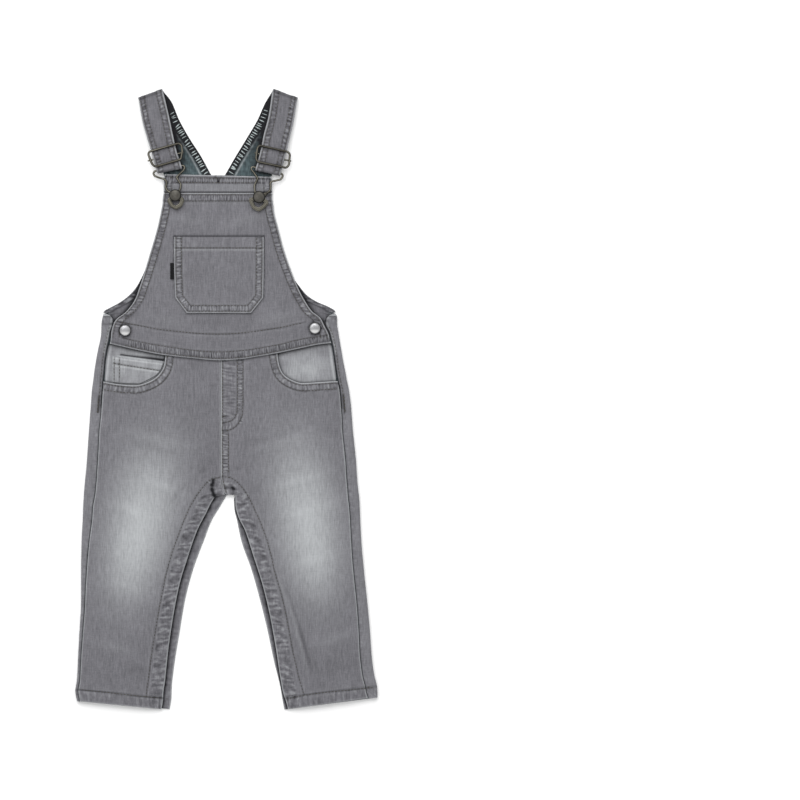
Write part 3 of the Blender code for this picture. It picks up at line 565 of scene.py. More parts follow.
# front panels, hem to waist: outer edge (None is read off the side seam) and its
# level, inner edge and its level, height of the inner edge
frontPiece = {
    "step": 1.45,
    "mouthRow": 18,          # where the side seam gives way to the pocket mouth
    "inseamBand": 13.0,
    "flyBand": 21.0,
    "flyFoot": 265.0,        # where the mock fly curves in to the seam
    "flyRise": 16.0,
    "tacks": (265.5, 279.0),
    "mouthStitched": (1.9, 7.4),
    "crotchGaps": [[(-12.3, 218.5), (-14.0, 210.0), (-11.4, 203.3)], [(6.0, 211.0), (6.9, 209.6)]],
    "hemBand": 11.0,
    "right": [
        (None, 8.5, -61.5, 1, 1.5),
        (None, 18.5, -60, 12, 1.5),
        (None, 19.5, -60, 13, 1.5),
        (None, 33, -58, 29.5, 1.5),
        (None, 55, -55.5, 54, 1.5),
        (None, 88.5, -50.5, 88.5, 1.5),
        (None, 119, -44.5, 119, 1.5),
        (None, 147, -36, 147, 1.5),
        (None, 171, -27.5, 171, 1.5),
        (None, 188, -19, 187.5, 1.5),
        (None, 199.5, -13.5, 198.5, 1.5),
        (None, 209, -9.5, 203.5, 1.6),
        (None, 220.5, -1.4, 204.3, 1.8),
        (None, 235.5, -5.5, 221, 2.4),
        (None, 252, -5.7, 240.5, 2.8),
        (None, 268, -5.7, 253.5, 3),
        (None, 287, -5.7, 266, 3),
        (None, 301, -5.7, 276.5, 3),
        (None, 312, -5.7, 286, 3),
        (-102, 309.5, -5.7, 294, 3),
        (-86.5, 308.5, -5.7, 302.5, 3),
        (-74.5, 311.5, -5.7, 310, 3),
        (-64.5, 318, -5.7, 317.5, 3),
        (-59, 327.5, -5.7, 325, 3),
        (-57.5, 339, -5.7, 334.5, 3),
    ],
    "left": [
        (None, 11.5, 58.5, 1, 1.5),
        (None, 21.5, 55.5, 11.5, 1.5),
        (None, 22.5, 55, 12.5, 1.5),
        (None, 35, 51.5, 28.5, 1.5),
        (None, 57, 47.5, 55, 1.5),
        (None, 89.5, 41.5, 88.5, 1.5),
        (None, 119, 34.5, 118, 1.5),
        (None, 147, 25.5, 146.5, 1.5),
        (None, 173, 17.5, 171, 1.5),
        (None, 192, 11, 184.5, 1.5),
        (None, 204, 8.5, 195.5, 1.5),
        (None, 213, 8.5, 204, 1.6),
        (None, 224, -0.7, 204.9, 1.8),
        (None, 236.5, -4.9, 221, 2.4),
        (None, 251, -5.2, 240.5, 2.8),
        (None, 266, -5.2, 253.5, 3),
        (None, 284, -5.2, 266, 3),
        (None, 299, -5.2, 276.5, 3),
        (None, 312.5, -5.2, 286, 3),
        (88.5, 311.5, -5.2, 294, 3),
        (72.5, 310.5, -5.2, 302.5, 3),
        (61, 314, -5.2, 310, 3),
        (53.5, 320, -5.2, 317.5, 3),
        (50, 328.5, -5.2, 325, 3),
        (48, 342, -5.2, 334.5, 3),
    ],
}


def frontRows(side):
    table = frontPiece[sideName[side]]
    rows = [(sideSeam(side, row[1]) - side * layers["sideGap"] if row[0] is None else row[0],) + row[1:]
            for row in table]
    outer, outerLevel, inner, innerLevel, innerHeight = np.array(rows, float).T
    return knotsOf(outer, outerLevel, inner, innerLevel), [outer, outerLevel, inner, innerLevel, innerHeight]


def meeting(inner, level, own, other):   # above the crotch both panels end on one centre line
    centre = (np.interp(level, own[1], own[0]) + np.interp(level, other[1], other[0])) / 2
    return mix(inner, centre, smooth((level - 212) / 10))


def frontEdges(side, at):
    knots, columns = frontRows(side)
    outer, outerLevel, inner, innerLevel, innerHeight = blended(knots, columns, at)
    inner = meeting(inner, innerLevel, frontRows(side)[1][2:4], frontRows(-side)[1][2:4])
    below = at <= knots[frontPiece["mouthRow"]]
    outer = np.where(below, sideSeam(side, outerLevel) - side * layers["sideGap"], outer)
    return outer, outerLevel, inner, innerLevel, innerHeight


def mouthEdge(side):   # the scooped edge of the front pocket, from the side seam to the waist
    knots = frontRows(side)[0]
    outer, outerLevel = frontEdges(side, np.linspace(knots[frontPiece["mouthRow"]], knots[-1], 24))[:2]
    return np.column_stack([outer, outerLevel])


mouthNear, mouthFar = frontPiece["mouthStitched"]
frontSewing = {
    "right": {
        "inseam": curveOf([(-76.5, 11.5), (-75.0, 23.0), (-69.0, 65.5), (-61.5, 108.5), (-53.5, 143.5),
                           (-45.5, 166.5), (-34.0, 194.0), (-24.5, 209.0), (-14.5, 219.0), (-4.6, 221.5)]),
        "hem": curveOf([(-141.5, 20.0), (-100.0, 15.5), (-54.0, 10.5)]),
        "mouthNear": beside(mouthEdge(-1), -mouthNear),
        "mouthFar": beside(mouthEdge(-1), -mouthFar),
    },
    "left": {
        "inseam": curveOf([(-3.6, 221.5), (1.5, 221.5), (8.0, 218.5), (16.5, 209.5), (29.0, 186.0),
                           (39.0, 160.5), (46.5, 129.5), (54.5, 100.5), (62.0, 62.0), (70.0, 27.0),
                           (73.5, 15.0)]),
        "hem": curveOf([(56.5, 10.5), (75.5, 14.5), (141.0, 21.8)]),
        "mouthNear": beside(mouthEdge(1), mouthNear),
        "mouthFar": beside(mouthEdge(1), mouthFar),
        "centre": curveOf([(-3.6, 331.0), (-3.6, 222.5), (-1.6, 212.0), (0.2, 205.8)]),
        "centreSecond": curveOf([(1.9, 264.0), (1.9, 222.5)]),
        "tack": curveOf([(-3.6, 279.2), (-0.5, 279.5), (2.8, 279.0)]),
        "flyInner": curveOf([(10.6, 332.0), (10.6, 290.0), (10.0, 282.5), (6.5, 276.0), (0.5, 273.5),
                             (-3.0, 273.0)]),
        "flyOuter": curveOf([(15.7, 332.5), (15.7, 290.0), (15.2, 281.5), (11.0, 271.5), (3.0, 266.0),
                             (-3.0, 265.0)]),
    },
}


def frontDetail(side, x, level, reach, fromOuter, fromFoot):
    marks = blankMarks(x)
    inseamBand, hemBand, flyBand = [frontPiece[key] for key in ("inseamBand", "hemBand", "flyBand")]
    addLines(marks, x, level, frontSewing[sideName[side]].values())
    belowCrotch = smooth((219 - level) / 3)
    turned = smooth((inseamBand - reach) / 0.8 + 0.5) * belowCrotch
    toMouth, alongMouth = nearestOn(x, level, mouthEdge(side))
    turned = np.maximum(turned, smooth((7.8 - toMouth) / 0.8))
    turned = np.maximum(turned, smooth((hemBand - fromFoot) / 0.8 + 0.5))
    if side > 0:
        flyFoot = frontPiece["flyFoot"] + frontPiece["flyRise"] * (np.clip(reach, 0, flyBand) / flyBand) ** 3
        onFly = smooth((flyBand + 0.4 - reach) / 0.8) * smooth((level - flyFoot) / 0.8 + 0.5)
        seamBand = smooth((7.5 - reach) / 0.8) * smooth((266 - level) / 2)
        turned = np.maximum(turned, np.maximum(onFly, seamBand))
        onSeam = smooth((265 - level) / 2) * smooth((level - 223) / 3)
        addPuckers(marks, reach, 1.5, 7.0, level, 2.7, 21, onSeam)
        addPuckers(marks, reach, 1.5, 15.4, level, 4.0, 23, smooth((level - 272) / 4), 0.6)
        addPuckers(marks, reach, 15.8, 20.9, level, 3.0, 22, smooth((level - 270) / 4), 1.3)
        addPuckers(marks, flyFoot - level, -8.5, -1.5, x, 3.2, 24, onFly, 0.8)
        for tack in frontPiece["tacks"]:
            marks["dark"] += 0.45 * bump(level - tack, 1.0) * plateau(x, -4.0, 1.0, 0.8)
    marks["relief"] += layers["doubled"] * turned
    addEdge(marks, reach, np.where(level < 207, 1.0, 0.45))
    marks["pale"] += 0.22 * bump(reach - 0.9, 0.8) * (level > 222) * (side > 0)
    addEdge(marks, fromOuter, smooth((310 - level) / 3) * 0.85)
    addEdge(marks, toMouth)
    addEdge(marks, fromFoot, 0.7)
    marks["dark"] += 0.3 * bump(fromFoot - 11.0, 1.0)
    addPuckers(marks, toMouth, mouthNear, mouthFar, alongMouth, 4.4, 24 + side, 1.0, 0.8)
    addPuckers(marks, reach, 0.8, inseamBand, level, 6.5, 26 + side, belowCrotch, 0.95)
    addPuckers(marks, fromFoot, 0.8, hemBand - 0.5, x, 6.5, 28 + side, 1.0, 0.4)
    marks["pale"] += washOf(x, level, washes["front"]) * smooth(reach / 24)
    addFolds(marks, x, level, creases["front"], smooth((reach - 6) / 12))
    for gap in frontPiece["crotchGaps"]:
        toGap = distanceTo(x, level, gap)
        addShadow(marks, toGap, 1.5, 1.7)
        marks["relief"] -= 0.4 * bump(toGap, 1.4)
    addShadow(marks, waistLevel(x) - level, 1.5, 1.0)
    return marks


def frontPanel(name, side, finish):
    knots = frontRows(side)[0]
    at = rowPlan(knots[-1], frontPiece["step"])
    mouth = knots[frontPiece["mouthRow"]]
    at = np.unique(np.concatenate([at, np.linspace(mouth - 3, mouth + 18, 20)]))
    outer, outerLevel, inner, innerLevel, innerHeight = frontEdges(side, at)
    innerStops = bandEdge + [10.2, 11.6, 12.9, 14.2, 15.6, 17.2, 18.8, 20.2, 21.6]
    starts, shares = columnPlan(innerStops, bandEdge, 52)

    def shape(column, row, face):
        innerX = inner[row] + side * layers["seamMeet"] / 2
        width = abs(outer[row] - innerX)
        reach = starts[column] + shares[column] * width
        share = reach / width
        x = mix(innerX, outer[row], share)
        level = mix(innerLevel[row], outerLevel[row], share)
        level = np.minimum(level, waistLevel(x) - layers["seamMeet"] / 2)
        rise = mix(innerHeight[row], layers["topLayer"], smooth(reach / 16))
        full = layers["fullness"] * smooth(reach / 30) * smooth((width - reach) / 22)
        body = smooth((reach - 6) / 14) * smooth((width - reach - 2) / 8)
        height = rise + full + frontLift(x, level) + body * foldHeight(x, level, creases["front"])
        foot = mix(innerLevel[0], outerLevel[0], share)
        marks = frontDetail(side, x[face], level[face], reach[face], (width - reach)[face],
                            (level - foot)[face])
        height = height + onFace(face, wall + marks["relief"])
        return x, level, height, marksFor(face, marks)

    clothPiece(name, len(starts) - 1, len(at) - 1, shape, finish)


# bib, waist to yoke, and the yoke above it: left edge and its level, right edge and
# its level, how far a row sags between them
bibPiece = {
    "step": 1.45,
    "yokeStep": 1.2,
    "stitched": (1.9, 7.6),  # rows of stitches inside the armhole edge
    "topStitched": (1.9, 7.8),
    "edgeBand": 8.2,
    "top": 491.2,            # where the yoke begins
    "rows": [
        (-110.5, 346, 99.5, 347, 15),
        (-109.5, 354, 97.5, 355, 15),
        (-109.5, 355, 97.3, 356, 14.5),
        (-107.5, 366, 93, 365, 12.5),
        (-104.5, 371, 89.5, 372, 10.5),
        (-96, 377.5, 81.5, 378.5, 7.5),
        (-87, 389.5, 74, 389.5, 4),
        (-83, 400, 68.5, 400, 2),
        (-77.5, 417, 61.5, 417, 0),
        (-71.5, 437, 54.5, 437, 0),
        (-66, 456, 49.5, 456, 0),
        (-62, 474, 45, 474, 0),
        (-60.5, 483, 44, 483, 0),
        (-60.5, 484, 43.5, 484, 0),
        (-59.5, 491.2, 43.5, 491.2, 0),
    ],
    "yoke": [
        (-59.5, 491.6, 43.5, 491.6, 0),
        (-59.5, 500, 43, 500, 0),
        (-59.5, 501, 43, 501, 0),
        (-58.5, 509, 42.5, 506.5, 0),
    ],
}
waistSecond = curveOf([(-99.5, 353.8), (-88.0, 351.0), (-59.0, 345.5), (-6.0, 340.0), (17.5, 341.8),
                       (49.0, 347.0), (72.5, 352.5), (96.0, 356.0)])
bibFold = curveOf([(-100.5, 368.5), (-90.0, 366.5), (-59.0, 361.0), (-6.0, 357.0), (21.5, 359.0),
                   (49.0, 363.0), (73.5, 368.0)])


def bibEdges(level):   # the bib's two edges at a level
    rows = np.array(bibPiece["rows"] + bibPiece["yoke"], float)
    return np.interp(level, rows[:, 1], rows[:, 0]), np.interp(level, rows[:, 1], rows[:, 2])


def bibHeight(x, level):   # underside of the bib: up at the waist, resting on the back at the top
    left, right = bibEdges(level)
    edge = np.minimum(x - left, right - x)
    flap = smooth((395 - level) / 23)
    full = layers["fullness"] * smooth(edge / 42) * smooth((500 - level) / 60)
    overStraps = seamGap * smooth((level - 492) / 8)
    creased = smooth((edge - 6) / 12) * smooth((level - 352) / 10) * smooth((486 - level) / 10)
    return (mix(layers["restingLayer"], layers["topLayer"], flap) + full * (1 - 0.7 * flap) + overStraps
            + creased * foldHeight(x, level, creases["bib"]))


def bibDetail(x, level, edge, fromWaist, fromTop, yoke):
    marks = blankMarks(x)
    above = smooth((level - 350) / 6)
    turned = smooth((bibPiece["edgeBand"] + 0.3 - edge) / 0.8 + 0.5) * above
    for stitched in bibPiece["stitched"]:
        addDitch(marks, edge - stitched, 0.8, above)
    addEdge(marks, edge)
    addPuckers(marks, edge, 1.9, 7.6, level, 4.0, 31, above * smooth((level - 356) / 6), 1.0)
    if yoke:
        turned = np.maximum(turned, smooth((8.2 - fromTop) / 0.8))
        addLines(marks, x, level, [[(-52.0, 501.0), (36.0, 500.6)]])
        addShadow(marks, distanceTo(x, level, [(-10.8, 507.6), (-7.9, 501.6)]), 0.9, 0.8)
        addShadow(marks, distanceTo(x, level, [(-7.9, 501.6), (-4.8, 506.6)]), 0.8, 0.5)
        marks["relief"] -= 0.2 * bump(fromTop - 2.3, 0.7)
        marks["dark"] += 0.42 * bump(fromTop - 2.3, 0.7)
        addEdge(marks, fromTop)
        addPuckers(marks, fromTop, 2.0, 7.6, x, 2.2, 32, 1.0, 1.1, 0.05)
        addShadow(marks, level - 491.6, 1.0)
        marks["pale"] += 0.1 * plateau(level, 493, 499, 1)
    else:
        turned = np.maximum(turned, smooth((9.2 - fromTop) / 0.8))
        addEdge(marks, fromTop, 0.9)
        addPuckers(marks, fromTop, 1.9, 7.8, x, 2.3, 33, smooth((edge - 9) / 2), 1.15, 0.05)
        addFolds(marks, x, level, creases["bib"], 1.0)
        for stitched in bibPiece["topStitched"]:
            addDitch(marks, fromTop - stitched)
        marks["pale"] += 0.12 * bump(fromTop - 9.4, 0.8)
        for x0, level0 in (buttons["side_button_right"], buttons["side_button_left"]):
            addShadow(marks, np.hypot(x - x0, level - level0) - 5.6, 1.0, 0.9)
        inPocket = plateau(x, -49.0, 35.0, 0.5) * plateau(level, 377.5, 449.0, 0.5)
        addShadow(marks, distanceTo(x, level, bibPocket["sides"]), 1.0, 0.7 * (1 - inPocket))
        addShadow(marks, np.maximum(level - 449.5, 0.0), 1.3, plateau(x, -50.0, 36.0, 1.0) * (level > 448.0))
        addLines(marks, x, level, [waistSecond, bibFold])
        addEdge(marks, fromWaist, 0.8)
        addDitch(marks, fromWaist - 1.9)
        turned = np.maximum(turned, smooth((8.4 - fromWaist) / 0.8))
        addPuckers(marks, fromWaist, 1.9, 7.8, x, 2.3, 34, smooth((x + 96) / 4), 1.0, 0.05)
        marks["dark"] += 0.12 * plateau(fromWaist, 2.4, 7.2, 0.8)
    marks["relief"] += layers["doubled"] * turned
    marks["dark"] += 0.02
    return marks


def bibPart(name, yoke, finish):
    table = bibPiece["yoke" if yoke else "rows"]
    columns = np.array(table, float).T
    knots = knotsOf(*columns[:4])
    edgeStops = turnedEdge if yoke else bandEdge
    at = rowPlan(knots[-1], bibPiece["yokeStep" if yoke else "step"], edgeStops, edgeStops)
    left, leftLevel, right, rightLevel, dip = blended(knots, columns, at)
    starts, shares = columnPlan(bandEdge, bandEdge, 72)

    def shape(column, row, face):
        width = right[row] - left[row]
        reach = starts[column] + shares[column] * width
        share = reach / width
        x = mix(left[row], right[row], share)
        level = mix(leftLevel[row], rightLevel[row], share) - dip[row] * 4 * share * (1 - share)
        if not yoke:
            seam = waistLevel(x) + layers["seamMeet"] / 2
            level = np.maximum(level, seam + 0.9 * (at[row] - at[0]) * (at[row] < 9))
        x = np.where(level < layers["armholeLevel"], withinSeams(x, level), x)
        height = bibHeight(x, level)
        edge = np.minimum(reach, width - reach)
        top = bibPiece["top"] if not yoke else mix(leftLevel[-1], rightLevel[-1], share)
        marks = bibDetail(x[face], level[face], edge[face], (level - waistLevel(x))[face],
                          (top - level)[face], yoke)
        height = height + onFace(face, wall + marks["relief"])
        return x, level, height, marksFor(face, marks)

    clothPiece(name, len(starts) - 1, len(at) - 1, shape, finish)


# small pieces that lie on others: left edge and its level, right edge and its level
bibPocket = {
    "sides": [(-49.5, 449.5), (-49.5, 418.0), (-48.5, 391.5), (-37.5, 377.0),
              (23.5, 377.0), (35.0, 391.5), (35.5, 418.0), (35.5, 449.5)],
    "stitched": (1.7, 7.0),
    "hemLine": [(-48.6, 438.8), (34.6, 438.8)],
    "rows": [
        (-37.5, 377, 23.5, 377),
        (-43, 384.5, 29.5, 384.5),
        (-48.5, 391.5, 35, 391.5),
        (-49.5, 418, 35.5, 418),
        (-49.5, 437.5, 35.5, 437.5),
        (-49.5, 438.5, 35.5, 438.5),
        (-49.5, 449.5, 35.5, 449.5),
    ],
}
facings = {
    "right": [
        (-107, 304.5, -62, 301),
        (-115.5, 314, -54, 309),
        (-115.2, 319, -52.5, 315),
        (-114.8, 327, -51, 322),
        (-113.2, 340, -50, 331),
        (-111.2, 350, -50, 338),
    ],
    "left": [
        (52, 304, 98, 305.5),
        (44, 312, 104.2, 315),
        (42, 322, 103, 327),
        (41, 331, 101, 340),
        (41, 340, 99.2, 350),
    ],
}
coinPocket = {
    "rows": [
        (-108, 311.3, -82, 310.2),
        (-108, 319, -66, 319),
        (-108, 327.5, -62.8, 323),
        (-108, 328.5, -62.2, 324),
        (-108, 336, -60, 330),
    ],
    "mouth": [(-99.8, 337.4), (-59.5, 331.9)],
    "stitched": [[(-107.0, 329.3), (-63.0, 322.3)], [(-106.5, 335.0), (-106.5, 312.0)],
                 [(-101.5, 334.5), (-101.5, 311.8)]],
}


def smallPiece(name, table, finish, thickness, heightAt, detail, underWaist=False,
               step=1.3, blend=throughPoints, nearStops=turnedEdge):
    columns = np.array(table, float).T
    knots = knotsOf(*columns)
    at = rowPlan(knots[-1], step)
    if blend is sharpPoints:   # each corner gets a row of its own
        at = np.unique(np.concatenate([at, knots]))
    left, leftLevel, right, rightLevel = blended(knots, columns, at, blend)
    middle = max(2, int(np.max(np.hypot(right - left, rightLevel - leftLevel)) / step) - 4)
    starts, shares = columnPlan(nearStops, nearStops, middle)

    def shape(column, row, face):
        width = np.hypot(right - left, rightLevel - leftLevel)[row]
        reach = starts[column] + shares[column] * width
        share = reach / width
        x = mix(left[row], right[row], share)
        level = mix(leftLevel[row], rightLevel[row], share)
        fromTop = mix(leftLevel[-1], rightLevel[-1], share) - level
        if underWaist:
            level = np.minimum(level, waistLevel(x) - seamGap / 2)
            x = withinSeams(x, level)
        marks = detail(x[face], level[face], np.minimum(reach, width - reach)[face], fromTop[face])
        height = heightAt(x, level) + onFace(face, thickness + marks["relief"])
        return x, level, height, marksFor(face, marks)

    clothPiece(name, len(starts) - 1, len(at) - 1, shape, finish)


def facingHeight(x, level):
    return layers["restingLayer"] + hipLift(x, level)


def onFacing(x, level):
    return facingHeight(x, level) + layers["thinWall"] + seamGap


def onBib(x, level):
    return bibHeight(x, level) + wall + seamGap


# the washed middle of each facing: x, level, half width, half height
facingWash = {-1: (-86.0, 322.0, 26.0, 22.0, 0.32, 0.10), 1: (76.0, 323.0, 24.0, 16.0, 0.29, 0.09)}


def facingDetail(side):
    def detail(x, level, edge, fromTop):
        marks = blankMarks(x)
        heart = facingWash[side]
        off = np.hypot((x - heart[0]) / heart[2], (level - heart[1]) / heart[3])
        marks["pale"] += heart[5] + heart[4] * np.exp(-off ** 2) + 0.04 * mottle(x, level, 13.0, 41)
        toMouth = distanceTo(x, level, mouthEdge(side))
        addShadow(marks, toMouth, 1.4, 0.8)
        addShadow(marks, waistLevel(x) - level, 2.2, 0.9)
        fromSeam = sideSeam(side, level) * side - x * side
        addShadow(marks, fromSeam, 1.1)
        marks["pale"] += 0.34 * bump(fromSeam - 3.0, 0.8)
        if side < 0:   # the shade in the coin pocket's mouth
            mouth = coinPocket["mouth"]
            above = smooth((level - np.interp(x, *np.transpose(mouth))) / 0.8 + 1)
            addShadow(marks, distanceTo(x, level, mouth), mix(1.0, 1.9, smooth((x + 95) / 35)), 1.7 * above)
            marks["pale"] += 0.18 * (1 - above) * plateau(x, -103.0, -58.0, 2.0) * smooth((level - 326) / 2)
        marks["relief"] += 0.12 * mottle(x, level, 17.0, 42)
        return marks
    return detail


def coinDetail(x, level, edge, fromTop):
    marks = blankMarks(x)
    marks["pale"] += 0.27 + 0.04 * mottle(x, level, 11.0, 43) - 0.08 * smooth((321 - level) / 8)
    marks["pale"] += 0.20 * bump(fromTop - 8.8, 0.8) + 0.25 * bump(fromTop - 1.6, 0.6)
    addEdge(marks, edge, smooth((-100 - x) / 3) * 0.5)
    addLines(marks, x, level, coinPocket["stitched"])
    marks["relief"] += 0.3 * smooth((7.6 - fromTop) / 0.8)
    addShadow(marks, distanceTo(x, level, mouthEdge(-1)), 1.2)
    return marks


def bibPocketDetail(x, level, edge, fromTop):
    marks = blankMarks(x)
    toEdge, alongEdge = nearestOn(x, level, bibPocket["sides"])
    addLines(marks, x, level, bibPocketSewing)
    addEdge(marks, toEdge, 0.8)
    # painted shade along the pocket's open top edge
    marks["dark"] += 0.35 * bump(fromTop, 0.6)
    inHem = smooth((fromTop - 11.4) / 0.8 + 0.5)
    atFoot = plateau(x, -37.0, 23.0, 1.0) * smooth((387 - level) / 2)
    addPuckers(marks, toEdge, 1.9, 7.2, alongEdge, 3.4, 44, 1.0 - atFoot, 1.0)
    addPuckers(marks, toEdge, 1.9, 7.2, x, 2.2, 46, atFoot, 1.0, 0.0)
    addPuckers(marks, fromTop, 1.0, 10.4, x, 6.0, 45, smooth((toEdge - 8) / 2), 0.2)
    marks["relief"] += layers["doubled"] * 0.6 * np.maximum(1 - inHem, smooth((7.6 - toEdge) / 0.8))
    marks["pale"] += 0.16 * bump(fromTop - 12.4, 0.8)
    return marks


bibPocketSewing = [insetCorners(bibPocket["sides"], inset) for inset in bibPocket["stitched"]]
bibPocketSewing.append(bibPocket["hemLine"])


# back panels

backSewing = {
    "armhole": (1.9, 8.0),       # rows of stitches inside the armhole edge
    "topLevels": (503.0, 495.5),
    "right": [curveOf([(-7.0, 499.0), (-7.0, 241.5), (-11.0, 218.5), (-9.0, 203.0)]),
              curveOf([(-142.0, 29.0), (-60.0, 18.5)])],
    "left": [curveOf([(0.5, 499.0), (0.5, 241.5), (-2.5, 219.0)]),
             curveOf([(52.0, 22.0), (131.0, 31.0)])],
}


def underDetail(side, x, level, reach, fromFoot, fromTop):   # the side that rests on the floor
    marks = blankMarks(x)
    seat = smooth((level - 232) / 4)
    addLines(marks, x, level, backSewing[sideName[side]])
    addPuckers(marks, abs(x + 3.2), -2.0, 3.6, level, 5.0, 61, seat, 0.9)
    addEdge(marks, reach, np.maximum(0.9 * (side > 0) * seat, smooth((210 - level) / 5) * 0.8))
    addPuckers(marks, reach, 1.0, 12.0, level, 8.0, 62 + side, smooth((206 - level) / 4), 0.5)
    addPuckers(marks, fromTop, 1.9, 8.6, x, 4.5, 63, 1.0, 0.9)
    addPuckers(marks, fromFoot, 0.8, 10.5, x, 6.5, 64, 1.0, 0.5)
    addEdge(marks, fromFoot, 0.7)
    addEdge(marks, fromTop, 0.8)
    for line in (1.9, 8.8):
        marks["dark"] += 0.4 * bump(fromTop - line, 0.9)
    marks["dark"] += 0.4 * bump(fromFoot - 10.8, 0.9)
    pocket = seatPocket
    off = abs(x - centreBack)
    rim = plateau(level, pocket["foot"], pocket["top"], 3) * (bump(off - pocket["near"] + 1.5, 1.6)
                                                              + bump(off - pocket["far"] - 1.5, 1.6))
    rim = rim + plateau(off, pocket["near"], pocket["far"], 3) * bump(level - pocket["foot"] + 1.5, 1.6)
    marks["dark"] += 0.45 * rim
    marks["pale"] += washOf(x, level, washes["back"])
    marks["relief"] = np.minimum(marks["relief"], 0.0)
    return marks


def stripDetail(side, level, fromSeam, toTop, fromFoot):   # what comes round on to the front
    marks = blankMarks(level)
    addShadow(marks, fromSeam, 0.7, 0.55)
    opening = smooth((level - 336) / 5)
    addShadow(marks, fromSeam, 1.1, smooth((level - 284) / 6) * 0.8)
    marks["pale"] += 0.05 + 0.45 * bump(fromSeam - 2.1, 0.6) * opening
    addEdge(marks, toTop, 0.6)
    addPuckers(marks, toTop, 1.6, 7.6, fromSeam, 4.0, 73 + side, 1.0, 0.6)
    marks["dark"] += 0.45 * bump(toTop - 2.2, 0.7) + 0.45 * bump(toTop - 8.4, 0.8)
    marks["pale"] += 0.35 * bump(toTop - 0.8, 0.6)
    above = smooth((level - 281) / 3)
    marks["dark"] += 0.34 * bump(fromSeam - stripLine["offset"], 0.8) * above
    marks["dark"] += 0.6 * bump(fromSeam - stripLine["offset"], 1.1) * plateau(level, 283, 299, 1.5)
    addPuckers(marks, fromSeam, 0.2, 3.4, level, 8.0, 65 + side, 1.0, 0.3)
    marks["relief"] += 0.18 * waver(level, 31.0, 66 + side) * smooth(fromSeam / 4)
    addPuckers(marks, fromFoot, 0.8, 10.5, fromSeam + level, 6.5, 67, 1.0, 0.5)
    marks["dark"] += 0.35 * bump(fromFoot - 10.6, 0.9)
    addEdge(marks, fromFoot, 0.7)
    return marks


stripLine = {"offset": 2.5, "low": 281.5, "high": 366.0}


def legInner(side):   # the front leg's inner edge, hem to crotch
    return [row[2:4] for row in frontPiece[sideName[side]][:12]]


def insideDetail(side, x, level, reach, fromOuter, folded):
    marks = blankMarks(x)
    legs = smooth((210 - level) / 6)
    addEdge(marks, reach, legs)
    addPuckers(marks, reach, 0.8, 12.0, level, 9.0, 68, legs, 0.4)
    addShadow(marks, distanceTo(x, level, legInner(side)), 2.1, 1.2 * smooth((205 - level) / 3))
    armhole = np.maximum(1 - folded, smooth((level - 352) / 4))
    addEdge(marks, fromOuter, armhole * 0.6)
    addPuckers(marks, fromOuter, 1.6, 7.6, level, 6.0, 69, armhole, 1.0)
    for line in (1.7, 8.0):
        marks["dark"] += 0.42 * bump(fromOuter - line, 0.9) * armhole
        marks["relief"] -= 0.15 * bump(fromOuter - line, 0.9) * armhole
    marks["dark"] += (0.16 + 0.3 * bump(fromOuter - 9.2, 1.2)) * armhole
    left, right = bibEdges(level)
    toBib = np.minimum(np.abs(x - left), np.abs(x - right))
    addShadow(marks, toBib, 2.7, smooth((level - 362) / 6) * 1.2)
    wrong = 1 - np.maximum(smooth((15.8 - reach) / 0.8) * legs, smooth((40 - fromOuter) / 3) * armhole)
    return marks, wrong * 0.9


